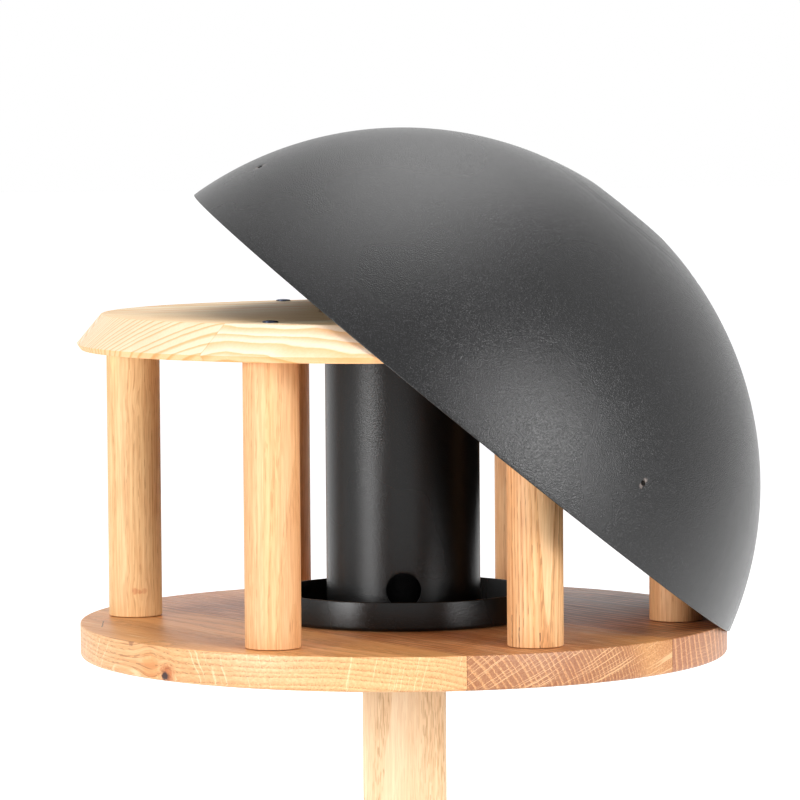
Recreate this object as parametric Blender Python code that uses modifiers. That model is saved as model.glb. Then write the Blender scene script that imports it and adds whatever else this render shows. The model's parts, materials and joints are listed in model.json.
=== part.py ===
"""Bird feeder on an oak post, shown with its roof swivelled open.

A round oak board stands on a square oak post. Six oak pillars carry a pine ring, and a steel silo
tube stands in a seed tray on the board and passes up through the ring. The roof is a spun steel
dome. Its inside is part of a sphere that rides on the edge of the ring like a ball joint, so it
swivels aside for filling until its rim meets the edge of the board.

Metres, +Z up. The origin is the centre of the post's lower end.
"""
import math
from dataclasses import dataclass

import bmesh
import bpy
from mathutils import Matrix, Vector

# Fits shared by all pieces
SEAT_GAP = 0.0003
CUT_OVERRUN = 0.002
MERGE_DISTANCE = 0.00001

# Post
POST_LENGTH = 0.250
POST_WIDTH = 0.045
POST_ARRIS_RADIUS = 0.0025

# Board
BOARD_RADIUS = 0.175
BOARD_THICKNESS = 0.018
BOARD_TOP_CHAMFER = 0.0005
BOARD_LOWER_ROUND = 0.002

# Pillars, one at each end of three lines through the centre of the board
PILLAR_RADIUS = 0.0145
PILLAR_LENGTH = 0.147
PILLAR_END_CHAMFER = 0.0006
PILLAR_INSET = 0.0125
PILLAR_LINES_DEG = (-8.0, 63.0, 117.0)
PILLAR_NUMBERS = (1, 2, 3, 4, 5, 6)
GLUED_PILLARS = (1, 4)

# Roof ring
RING_OVERHANG = 0.0005
RING_THICKNESS = 0.019
RING_BEVEL_WIDTH = 0.0134
RING_EDGE_HEIGHT = 0.0022
RING_LOWER_CHAMFER = 0.0006

# Silo tube and its feed holes
SILO_RADIUS = 0.0417
SILO_WALL = 0.0015
SILO_CLEARANCE = 0.003
SILO_ABOVE_RING = 0.020
FEED_HOLE_RADIUS = 0.0094
FEED_HOLE_LIP = 0.0078
FEED_HOLE_COUNT = 3
FEED_HOLE_FIRST_DEG = -90.0

# Seed tray
TRAY_RADIUS = 0.070
TRAY_HEIGHT = 0.0155
TRAY_SHEET = 0.0012
TRAY_CORNER_RADIUS = 0.0020

# Roof: its outside is a sphere cut off flat at the pole and at the rim
ROOF_OVERHANG = 0.011
ROOF_RISE = 0.1425
ROOF_SHEET = 0.0008
ROOF_FLAT_RADIUS = 0.023
ROOF_SEAT_GAP = 0.0006
ROOF_STOP_GAP = 0.0005
ROOF_HEADING_DEG = 1.0
VENT_RADIUS = 0.0015
VENT_ABOVE_RIM = 0.035
VENT_TURNS_DEG = (-61.0, -166.5, 66.0)

# Facets round each kind of piece
BOARD_STEPS = 72
PILLAR_STEPS = 24
ROOF_STEPS = 80
ROOF_ARC_STEPS = 13
SILO_STEPS = 48
TRAY_STEPS = 56
SCREW_STEPS = 10
FEED_HOLE_STEPS = 20


@dataclass(frozen=True)
class WoodScrew:
    """Sizes of one kind of wood screw; z = 0 is its bearing face, or its flush top if countersunk."""

    head_radius: float
    head_height: float
    shank_radius: float
    length: float
    tip_length: float
    countersunk: bool


PILLAR_TOP_SCREW = WoodScrew(0.0041, 0.0010, 0.0021, 0.048, 0.006, False)
PILLAR_FOOT_SCREW = WoodScrew(0.0045, 0.0030, 0.0021, 0.048, 0.006, True)
POST_SCREW = WoodScrew(0.0052, 0.0034, 0.0025, 0.070, 0.007, True)
TRAY_SCREW = WoodScrew(0.0038, 0.0020, 0.0017, 0.013, 0.004, False)
POST_SCREW_EDGE = 0.0105

# Heights of the stack
BOARD_BOTTOM = POST_LENGTH + SEAT_GAP
BOARD_TOP = BOARD_BOTTOM + BOARD_THICKNESS
PILLAR_FOOT = BOARD_TOP + SEAT_GAP
RING_BOTTOM = PILLAR_FOOT + PILLAR_LENGTH + SEAT_GAP
RING_TOP = RING_BOTTOM + RING_THICKNESS
TRAY_BOTTOM = BOARD_TOP + SEAT_GAP
TRAY_FLOOR = TRAY_BOTTOM + TRAY_SHEET
SILO_FOOT = TRAY_FLOOR + SEAT_GAP
SILO_LENGTH = RING_TOP + SILO_ABOVE_RING - SILO_FOOT

# Plan sizes that follow from the driving ones
PILLAR_CIRCLE = BOARD_RADIUS - PILLAR_INSET - PILLAR_RADIUS
RING_RADIUS = BOARD_RADIUS + RING_OVERHANG
RING_HOLE_RADIUS = SILO_RADIUS + SILO_CLEARANCE
TRAY_SCREW_CIRCLE = (SILO_RADIUS + TRAY_RADIUS - TRAY_SHEET) / 2
POST_SCREW_OFFSET = POST_WIDTH / 2 - POST_SCREW_EDGE

# Roof geometry, measured from the centre of its sphere; angles are from the pole
ROOF_RIM_RADIUS = RING_RADIUS + ROOF_OVERHANG
ROOF_SPHERE_RADIUS = (ROOF_RIM_RADIUS**2 + ROOF_RISE**2) / (2 * ROOF_RISE)
ROOF_INNER_RADIUS = ROOF_SPHERE_RADIUS - ROOF_SHEET
ROOF_RIM_HEIGHT = ROOF_SPHERE_RADIUS - ROOF_RISE
ROOF_RIM_ANGLE = math.acos(ROOF_RIM_HEIGHT / ROOF_SPHERE_RADIUS)
ROOF_SEAT_HEIGHT = math.sqrt((ROOF_INNER_RADIUS - ROOF_SEAT_GAP) ** 2 - RING_RADIUS**2)
ROOF_CENTRE_HEIGHT = RING_BOTTOM + RING_EDGE_HEIGHT - ROOF_SEAT_HEIGHT


def pillar_angles() -> list[float]:
    """Directions of the pillars from the centre of the board, in radians."""
    lines = [math.radians(line) for line in PILLAR_LINES_DEG]
    return lines + [line + math.pi for line in lines]


def pillar_places(height: float, numbers: tuple[int, ...] = PILLAR_NUMBERS) -> list[Vector]:
    """Points at one height on the axes of the pillars with the given numbers."""
    angles = [angle for i, angle in enumerate(pillar_angles(), start=1) if i in numbers]
    return [
        Vector((PILLAR_CIRCLE * math.cos(angle), PILLAR_CIRCLE * math.sin(angle), height))
        for angle in angles
    ]


def screwed_pillars() -> tuple[int, ...]:
    """Numbers of the pillars that are screwed to the ring; the others are glued into place."""
    return tuple(number for number in PILLAR_NUMBERS if number not in GLUED_PILLARS)


def feed_hole_turns(offset: float = 0.0) -> list[float]:
    """Directions of the feed holes in radians, each turned on by a share of the step between them."""
    step = math.tau / FEED_HOLE_COUNT
    first = math.radians(FEED_HOLE_FIRST_DEG)
    return [first + step * (i + offset) for i in range(FEED_HOLE_COUNT)]


def post_screw_places(height: float) -> list[Vector]:
    """Points at one height on the axes of the screws that hold the board to the post."""
    offset = POST_SCREW_OFFSET
    return [Vector((x, y, height)) for x in (-offset, offset) for y in (-offset, offset)]


def tray_screw_places(height: float) -> list[Vector]:
    """Points at one height on the axes of the tray screws, which lie between the feed holes."""
    return [
        Vector((TRAY_SCREW_CIRCLE * math.cos(a), TRAY_SCREW_CIRCLE * math.sin(a), height))
        for a in feed_hole_turns(0.5)
    ]


def roof_stop_tilt() -> float:
    """Tilt, in radians, at which the roof's lowest rim point comes to rest.

    The rim either passes just outside the board and closes on its edge, or, where the board lies
    higher than that, comes down on the board's top face. The larger of the two tilts is the stop.
    """
    reach = (BOARD_RADIUS + ROOF_STOP_GAP) / ROOF_INNER_RADIUS
    beside_board = math.acos(reach) + math.pi / 2 - ROOF_RIM_ANGLE
    drop = ROOF_CENTRE_HEIGHT - BOARD_TOP - ROOF_STOP_GAP
    on_board = math.acos(-drop / ROOF_SPHERE_RADIUS) - ROOF_RIM_ANGLE
    return max(beside_board, on_board)


def clear_scene() -> None:
    """Removes every object, so that the script starts from an empty scene."""
    for obj in list(bpy.data.objects):
        bpy.data.objects.remove(obj, do_unlink=True)


def new_collection(name: str) -> bpy.types.Collection:
    """A collection of this name, linked to the scene."""
    collection = bpy.data.collections.new(name)
    bpy.context.scene.collection.children.link(collection)
    return collection


def finish_material(name: str, colour: tuple, roughness: float, metallic: float) -> bpy.types.Material:
    """A Principled material in one colour."""
    material = bpy.data.materials.new(name)
    material.use_nodes = True
    shader = material.node_tree.nodes["Principled BSDF"]
    shader.inputs["Base Color"].default_value = (*colour, 1.0)
    shader.inputs["Roughness"].default_value = roughness
    shader.inputs["Metallic"].default_value = metallic
    return material


def turned_mesh(name: str, profile: list, steps: int, closed: bool = False) -> bpy.types.Mesh:
    """Mesh of a profile turned about Z.

    Args:
        name: name of the mesh.
        profile: (radius, height) points, down the outer side of the shape.
        steps: facets round the axis.
        closed: joins the last point to the first, for a shape that is open along its axis.
    """
    outline = bpy.data.meshes.new(name)
    edges = [(i, i + 1) for i in range(len(profile) - 1)]
    if closed:
        edges.append((len(profile) - 1, 0))
    outline.from_pydata([(radius, 0.0, height) for radius, height in profile], edges, [])
    guide = bpy.data.objects.new(name, outline)
    bpy.context.scene.collection.objects.link(guide)
    turn = guide.modifiers.new("Turn", "SCREW")
    turn.axis = "Z"
    turn.steps = steps
    turn.render_steps = steps
    turn.use_merge_vertices = True
    turn.merge_threshold = MERGE_DISTANCE
    evaluated = guide.evaluated_get(bpy.context.evaluated_depsgraph_get())
    mesh = bpy.data.meshes.new_from_object(evaluated)
    mesh.name = name
    mesh.shade_smooth()
    mesh.set_sharp_from_angle(angle=math.radians(35))
    bpy.data.objects.remove(guide)
    bpy.data.meshes.remove(outline)
    return mesh


def gathered_mesh(name: str, mesh: bpy.types.Mesh, places: list[Matrix]) -> bpy.types.Mesh:
    """One mesh that holds a copy of another at each place."""
    gathered = bmesh.new()
    for place in places:
        before = len(gathered.verts)
        gathered.from_mesh(mesh)
        gathered.verts.ensure_lookup_table()
        bmesh.ops.transform(gathered, matrix=place, verts=gathered.verts[before:])
    result = bpy.data.meshes.new(name)
    gathered.to_mesh(result)
    gathered.free()
    return result


def screw_mesh(name: str, screw: WoodScrew) -> bpy.types.Mesh:
    """Mesh of a wood screw that points down, with its head upwards."""
    if screw.countersunk:
        rim = screw.head_height / 6
        head = [(0.0, 0.0), (screw.head_radius, 0.0), (screw.head_radius, -rim)]
        head.append((screw.shank_radius, -screw.head_height))
    else:
        brim = screw.head_height / 4
        crown = screw.head_height - brim
        turns = [math.radians(angle) for angle in (0, 35, 65, 90)]
        head = [(screw.head_radius * math.sin(a), brim + crown * math.cos(a)) for a in turns]
        head += [(screw.head_radius, 0.0), (screw.shank_radius, 0.0)]
    shank = [(screw.shank_radius, screw.tip_length - screw.length), (0.0, -screw.length)]
    return turned_mesh(name, head + shank, SCREW_STEPS)


def clearance_mesh(name: str, screw: WoodScrew, depth: float) -> bpy.types.Mesh:
    """Mesh of the hole for a screw, from above its head down to a depth below z = 0."""
    bore = screw.shank_radius + SEAT_GAP
    profile = [(0.0, CUT_OVERRUN)]
    if screw.countersunk:
        mouth = screw.head_radius + SEAT_GAP
        sink = screw.head_height + SEAT_GAP
        profile += [(mouth, CUT_OVERRUN), (mouth, -sink / 6), (bore, -sink)]
    else:
        profile.append((bore, CUT_OVERRUN))
    profile += [(bore, -depth), (0.0, -depth)]
    return turned_mesh(name, profile, SCREW_STEPS)


class Feeder:
    """Builds the pieces and keeps the collections and materials that they share."""

    def __init__(self) -> None:
        self.parts = new_collection("bird_feeder")
        self.cutters = new_collection("cutters")
        self.foot = self.pivot("feeder_foot", (0, 0, 0))

    def pivot(self, name: str, place: tuple) -> bpy.types.Object:
        """An empty that pieces are parented to."""
        empty = bpy.data.objects.new(name, None)
        empty.location = place
        empty.empty_display_size = 0.02
        self.parts.objects.link(empty)
        return empty

    def piece(self, name: str, mesh: bpy.types.Mesh, place: tuple, finish: bpy.types.Material,
              parent: bpy.types.Object) -> bpy.types.Object:
        """A named piece of the feeder, placed from its parent's origin."""
        obj = bpy.data.objects.new(name, mesh)
        obj.parent = parent
        obj.location = place
        mesh.materials.clear()
        mesh.materials.append(finish)
        self.parts.objects.link(obj)
        return obj

    def cut(self, obj: bpy.types.Object, name: str, mesh: bpy.types.Mesh,
            parent: bpy.types.Object) -> None:
        """Takes the shape of a hidden cutter out of a piece."""
        cutter = bpy.data.objects.new(name, mesh)
        cutter.parent = parent
        cutter.hide_render = True
        cutter.display_type = "WIRE"
        self.cutters.objects.link(cutter)
        boolean = obj.modifiers.new(name, "BOOLEAN")
        boolean.operation = "DIFFERENCE"
        boolean.solver = "EXACT"
        boolean.object = cutter

    def drill(self, obj: bpy.types.Object, name: str, screw: WoodScrew, depth: float,
              places: list[Vector], upwards: bool = False) -> None:
        """Cuts the holes for a set of screws whose z = 0 planes lie at the given places."""
        hole = clearance_mesh(name + "_profile", screw, depth)
        turn = Matrix.Rotation(math.pi, 4, "X") if upwards else Matrix.Identity(4)
        places = [Matrix.Translation(place) @ turn for place in places]
        self.cut(obj, name, gathered_mesh(name, hole, places), self.foot)

    def screws(self, name: str, screw: WoodScrew, places: list[Vector],
               finish: bpy.types.Material, upwards: bool = False) -> None:
        """One screw at each place, numbered from 1."""
        mesh = screw_mesh(name, screw)
        for number, place in enumerate(places, start=1):
            obj = self.piece(f"{name}_{number}", mesh, place, finish, self.foot)
            if upwards:
                obj.rotation_euler.x = math.pi


def build_post(feeder: Feeder, finish: bpy.types.Material) -> None:
    """The square post, with rounded arrises and pilot holes in its upper end."""
    timber = bmesh.new()
    size = Matrix.Diagonal((POST_WIDTH, POST_WIDTH, POST_LENGTH, 1.0))
    lift = Matrix.Translation((0, 0, POST_LENGTH / 2))
    bmesh.ops.create_cube(timber, size=1.0, matrix=lift @ size)
    arrises = [e for e in timber.edges if abs((e.verts[0].co - e.verts[1].co).z) > MERGE_DISTANCE]
    bmesh.ops.bevel(timber, geom=arrises, offset=POST_ARRIS_RADIUS, segments=3, profile=0.5,
                    affect="EDGES")
    mesh = bpy.data.meshes.new("post")
    timber.to_mesh(mesh)
    timber.free()
    post = feeder.piece("post", mesh, (0, 0, 0), finish, feeder.foot)
    depth = POST_SCREW.length + SEAT_GAP
    feeder.drill(post, "post_pilot_holes", POST_SCREW, depth, post_screw_places(BOARD_TOP))


def build_board(feeder: Feeder, finish: bpy.types.Material) -> None:
    """The round board, drilled for the pillars, the post and the tray."""
    profile = [
        (0.0, BOARD_THICKNESS),
        (BOARD_RADIUS - BOARD_TOP_CHAMFER, BOARD_THICKNESS),
        (BOARD_RADIUS, BOARD_THICKNESS - BOARD_TOP_CHAMFER),
    ]
    for angle in (0, 30, 60, 90):
        turn = math.radians(angle)
        radius = BOARD_RADIUS - BOARD_LOWER_ROUND * (1 - math.cos(turn))
        profile.append((radius, BOARD_LOWER_ROUND * (1 - math.sin(turn))))
    profile.append((0.0, 0.0))
    mesh = turned_mesh("base_board", profile, BOARD_STEPS)
    board = feeder.piece("base_board", mesh, (0, 0, BOARD_BOTTOM), finish, feeder.foot)
    through = BOARD_THICKNESS + CUT_OVERRUN
    feeder.drill(board, "pillar_foot_holes", PILLAR_FOOT_SCREW, through,
                 pillar_places(BOARD_BOTTOM), upwards=True)
    feeder.drill(board, "post_screw_holes", POST_SCREW, through, post_screw_places(BOARD_TOP))
    depth = TRAY_SCREW.length + SEAT_GAP
    feeder.drill(board, "tray_pilot_holes", TRAY_SCREW, depth,
                 tray_screw_places(TRAY_FLOOR + SEAT_GAP))


def build_pillars(feeder: Feeder, finish: bpy.types.Material) -> None:
    """The six pillars, each with a pilot hole up its foot, and the screwed ones down their heads."""
    head_depth = PILLAR_TOP_SCREW.length - RING_THICKNESS
    foot_depth = PILLAR_FOOT_SCREW.length - BOARD_THICKNESS
    head_bore = PILLAR_TOP_SCREW.shank_radius + SEAT_GAP
    foot_bore = PILLAR_FOOT_SCREW.shank_radius + SEAT_GAP
    shoulder = PILLAR_RADIUS - PILLAR_END_CHAMFER
    head = [
        (0.0, PILLAR_LENGTH - head_depth),
        (head_bore, PILLAR_LENGTH - head_depth),
        (head_bore, PILLAR_LENGTH),
    ]
    rest = [
        (shoulder, PILLAR_LENGTH),
        (PILLAR_RADIUS, PILLAR_LENGTH - PILLAR_END_CHAMFER),
        (PILLAR_RADIUS, PILLAR_END_CHAMFER),
        (shoulder, 0.0),
        (foot_bore, 0.0),
        (foot_bore, foot_depth),
        (0.0, foot_depth),
    ]
    screwed = turned_mesh("screwed_pillar", head + rest, PILLAR_STEPS)
    glued = turned_mesh("glued_pillar", [(0.0, PILLAR_LENGTH)] + rest, PILLAR_STEPS)
    for number, place in enumerate(pillar_places(PILLAR_FOOT), start=1):
        mesh = glued if number in GLUED_PILLARS else screwed
        feeder.piece(f"pillar_{number}", mesh, place, finish, feeder.foot)


def build_ring(feeder: Feeder, finish: bpy.types.Material) -> None:
    """The roof ring, bevelled above its thin edge, with a hole for the silo."""
    profile = [
        (RING_RADIUS - RING_BEVEL_WIDTH, RING_THICKNESS),
        (RING_RADIUS, RING_EDGE_HEIGHT),
        (RING_RADIUS, RING_LOWER_CHAMFER),
        (RING_RADIUS - RING_LOWER_CHAMFER, 0.0),
        (RING_HOLE_RADIUS, 0.0),
        (RING_HOLE_RADIUS, RING_THICKNESS),
    ]
    mesh = turned_mesh("roof_ring", profile, BOARD_STEPS, closed=True)
    ring = feeder.piece("roof_ring", mesh, (0, 0, RING_BOTTOM), finish, feeder.foot)
    feeder.drill(ring, "ring_screw_holes", PILLAR_TOP_SCREW, RING_THICKNESS + CUT_OVERRUN,
                 pillar_places(RING_TOP, screwed_pillars()))


def build_tray(feeder: Feeder, finish: bpy.types.Material) -> None:
    """The shallow round tray that the silo stands in."""
    inner = TRAY_RADIUS - TRAY_SHEET
    corner = TRAY_CORNER_RADIUS
    profile = [
        (0.0, TRAY_SHEET),
        (inner - corner / 2, TRAY_SHEET),
        (inner, TRAY_SHEET + corner / 2),
        (inner, TRAY_HEIGHT),
        (TRAY_RADIUS, TRAY_HEIGHT),
    ]
    for angle in (0, 30, 60, 90):
        turn = math.radians(angle)
        profile.append((TRAY_RADIUS - corner * (1 - math.cos(turn)), corner * (1 - math.sin(turn))))
    profile.append((0.0, 0.0))
    mesh = turned_mesh("seed_tray", profile, TRAY_STEPS)
    tray = feeder.piece("seed_tray", mesh, (0, 0, TRAY_BOTTOM), finish, feeder.foot)
    feeder.drill(tray, "tray_screw_holes", TRAY_SCREW, TRAY_SHEET + CUT_OVERRUN,
                 tray_screw_places(TRAY_FLOOR))


def build_silo(feeder: Feeder, finish: bpy.types.Material) -> None:
    """The silo tube, which lifts along its own axis, with feed holes round its foot."""
    inner = SILO_RADIUS - SILO_WALL
    profile = [(SILO_RADIUS, SILO_LENGTH), (SILO_RADIUS, 0.0), (inner, 0.0), (inner, SILO_LENGTH)]
    mesh = turned_mesh("silo_tube", profile, SILO_STEPS, closed=True)
    lift = feeder.pivot("silo_lift", (0, 0, SILO_FOOT))
    silo = feeder.piece("silo_tube", mesh, (0, 0, 0), finish, lift)
    bit = bmesh.new()
    bmesh.ops.create_cone(bit, cap_ends=True, segments=FEED_HOLE_STEPS, radius1=FEED_HOLE_RADIUS,
                          radius2=FEED_HOLE_RADIUS, depth=SILO_RADIUS)
    bit_mesh = bpy.data.meshes.new("feed_hole_bit")
    bit.to_mesh(bit_mesh)
    bit.free()
    height = FEED_HOLE_LIP + FEED_HOLE_RADIUS
    outwards = Matrix.Translation((SILO_RADIUS, 0, height)) @ Matrix.Rotation(math.pi / 2, 4, "Y")
    places = [Matrix.Rotation(turn, 4, "Z") @ outwards for turn in feed_hole_turns()]
    feeder.cut(silo, "feed_holes", gathered_mesh("feed_holes", bit_mesh, places), lift)


def build_roof(feeder: Feeder, finish: bpy.types.Material) -> None:
    """The spun roof, swivelled about the centre of its sphere until its rim meets the board."""
    pole_angle = math.asin(ROOF_FLAT_RADIUS / ROOF_SPHERE_RADIUS)
    profile = [(0.0, ROOF_SPHERE_RADIUS * math.cos(pole_angle))]
    for i in range(ROOF_ARC_STEPS + 1):
        angle = pole_angle + (ROOF_RIM_ANGLE - pole_angle) * i / ROOF_ARC_STEPS
        profile.append((ROOF_SPHERE_RADIUS * math.sin(angle), ROOF_SPHERE_RADIUS * math.cos(angle)))
    swivel = feeder.pivot("roof_swivel", (0, 0, ROOF_CENTRE_HEIGHT))
    swivel.rotation_euler = (0.0, roof_stop_tilt(), math.radians(ROOF_HEADING_DEG))
    roof = feeder.piece("dome_roof", turned_mesh("dome_roof", profile, ROOF_STEPS), (0, 0, 0),
                        finish, swivel)
    sheet = roof.modifiers.new("Sheet", "SOLIDIFY")
    sheet.thickness = ROOF_SHEET
    sheet.offset = -1.0

    punch = bmesh.new()
    bmesh.ops.create_cone(punch, cap_ends=True, segments=12, radius1=VENT_RADIUS,
                          radius2=VENT_RADIUS, depth=ROOF_SHEET + 2 * CUT_OVERRUN)
    punch_mesh = bpy.data.meshes.new("vent_punch")
    punch.to_mesh(punch_mesh)
    punch.free()
    vent_angle = math.acos((ROOF_RIM_HEIGHT + VENT_ABOVE_RIM) / ROOF_SPHERE_RADIUS)
    on_wall = Matrix.Rotation(vent_angle, 4, "Y") @ Matrix.Translation((0, 0, ROOF_SPHERE_RADIUS))
    places = [Matrix.Rotation(math.radians(t), 4, "Z") @ on_wall for t in VENT_TURNS_DEG]
    feeder.cut(roof, "roof_vents", gathered_mesh("roof_vents", punch_mesh, places), swivel)


def build_feeder() -> None:
    """Builds every piece of the feeder."""
    clear_scene()
    feeder = Feeder()
    oak = finish_material("oiled_oak", (0.60, 0.36, 0.17), 0.55, 0.0)
    pale_oak = finish_material("bare_oak", (0.80, 0.64, 0.42), 0.65, 0.0)
    pine = finish_material("pine", (0.82, 0.62, 0.38), 0.60, 0.0)
    black_coat = finish_material("black_powder_coat", (0.020, 0.019, 0.019), 0.45, 0.3)
    roof_coat = finish_material("anthracite_powder_coat", (0.045, 0.048, 0.050), 0.50, 0.3)
    black_steel = finish_material("blackened_steel", (0.015, 0.016, 0.020), 0.35, 0.8)
    zinc = finish_material("zinc_plated_steel", (0.62, 0.62, 0.60), 0.35, 1.0)

    build_post(feeder, pale_oak)
    build_board(feeder, oak)
    build_pillars(feeder, oak)
    build_ring(feeder, pine)
    build_tray(feeder, black_coat)
    build_silo(feeder, black_coat)
    build_roof(feeder, roof_coat)
    feeder.screws("ring_screw", PILLAR_TOP_SCREW,
                  pillar_places(RING_TOP + SEAT_GAP, screwed_pillars()), black_steel)
    feeder.screws("board_screw", PILLAR_FOOT_SCREW, pillar_places(BOARD_BOTTOM), zinc,
                  upwards=True)
    feeder.screws("post_screw", POST_SCREW, post_screw_places(BOARD_TOP), zinc)
    feeder.screws("tray_screw", TRAY_SCREW, tray_screw_places(TRAY_FLOOR + SEAT_GAP), black_steel)


build_feeder()
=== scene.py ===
"""Finishes of the bird feeder: glued staves, turned pillars, coated sheet metal, screws and studio.

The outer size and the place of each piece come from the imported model. Lengths are in metres, +Z is
up, and the camera looks along +Y. Wood is coloured by a solid model of a growing trunk, so that the
top, the edge and the end grain of one stave agree.
"""
import json
import logging
import math
from dataclasses import dataclass, field, replace
from enum import Enum

import bmesh
import bpy
from mathutils import Matrix, Quaternion, Vector

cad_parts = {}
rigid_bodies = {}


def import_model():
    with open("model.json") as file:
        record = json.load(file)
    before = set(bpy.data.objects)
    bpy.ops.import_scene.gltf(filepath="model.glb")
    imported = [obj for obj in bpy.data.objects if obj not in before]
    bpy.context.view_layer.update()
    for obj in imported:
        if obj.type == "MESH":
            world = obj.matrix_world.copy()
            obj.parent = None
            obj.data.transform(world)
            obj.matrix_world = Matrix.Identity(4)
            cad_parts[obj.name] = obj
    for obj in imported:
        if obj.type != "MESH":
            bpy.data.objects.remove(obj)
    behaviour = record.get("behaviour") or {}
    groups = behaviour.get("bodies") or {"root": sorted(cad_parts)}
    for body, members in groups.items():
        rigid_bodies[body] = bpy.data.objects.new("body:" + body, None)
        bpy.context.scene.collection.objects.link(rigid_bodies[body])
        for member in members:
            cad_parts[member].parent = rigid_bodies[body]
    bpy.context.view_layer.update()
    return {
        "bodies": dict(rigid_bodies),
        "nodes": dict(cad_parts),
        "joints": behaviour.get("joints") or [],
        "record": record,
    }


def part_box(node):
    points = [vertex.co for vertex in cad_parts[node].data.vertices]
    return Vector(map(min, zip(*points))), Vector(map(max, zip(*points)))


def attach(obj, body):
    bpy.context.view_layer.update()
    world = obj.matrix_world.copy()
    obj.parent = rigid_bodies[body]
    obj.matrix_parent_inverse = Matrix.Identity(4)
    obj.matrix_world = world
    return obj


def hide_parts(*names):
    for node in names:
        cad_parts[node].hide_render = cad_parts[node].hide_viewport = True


LOG = logging.getLogger("bird_feeder")

BMesh = bmesh.types.BMesh
Material = bpy.types.Material
Node = bpy.types.Node
NodeTree = bpy.types.NodeTree
Object = bpy.types.Object
Outputs = bpy.types.NodeOutputs
Socket = bpy.types.NodeSocket
Colour = tuple[float, float, float, float]
Groups = dict[str, NodeTree]
Place = tuple[float, float, float]
Point = tuple[float, float]
Profile = list[Point]

# Kinds of the named group sockets that are not plain numbers.
SOCKET_KINDS = {
    "Vector": "Vector", "Centre": "Vector", "Start": "Vector", "Way": "Vector",
    "Places": "Geometry", "Screws": "Geometry", "Material": "Material",
}


def srgb(red: int, green: int, blue: int) -> Colour:
    """Linear colour of an 8-bit display colour."""
    shares = (value / 255 for value in (red, green, blue))
    return (*(s / 12.92 if s <= 0.04045 else ((s + 0.055) / 1.055) ** 2.4 for s in shares), 1.0)


WHITE: Colour = (1.0, 1.0, 1.0, 1.0)
CRACK_SHADE = srgb(74, 44, 26)
HEART_SHADE = srgb(40, 22, 12)
BARE_METAL = srgb(136, 124, 118)


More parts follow.
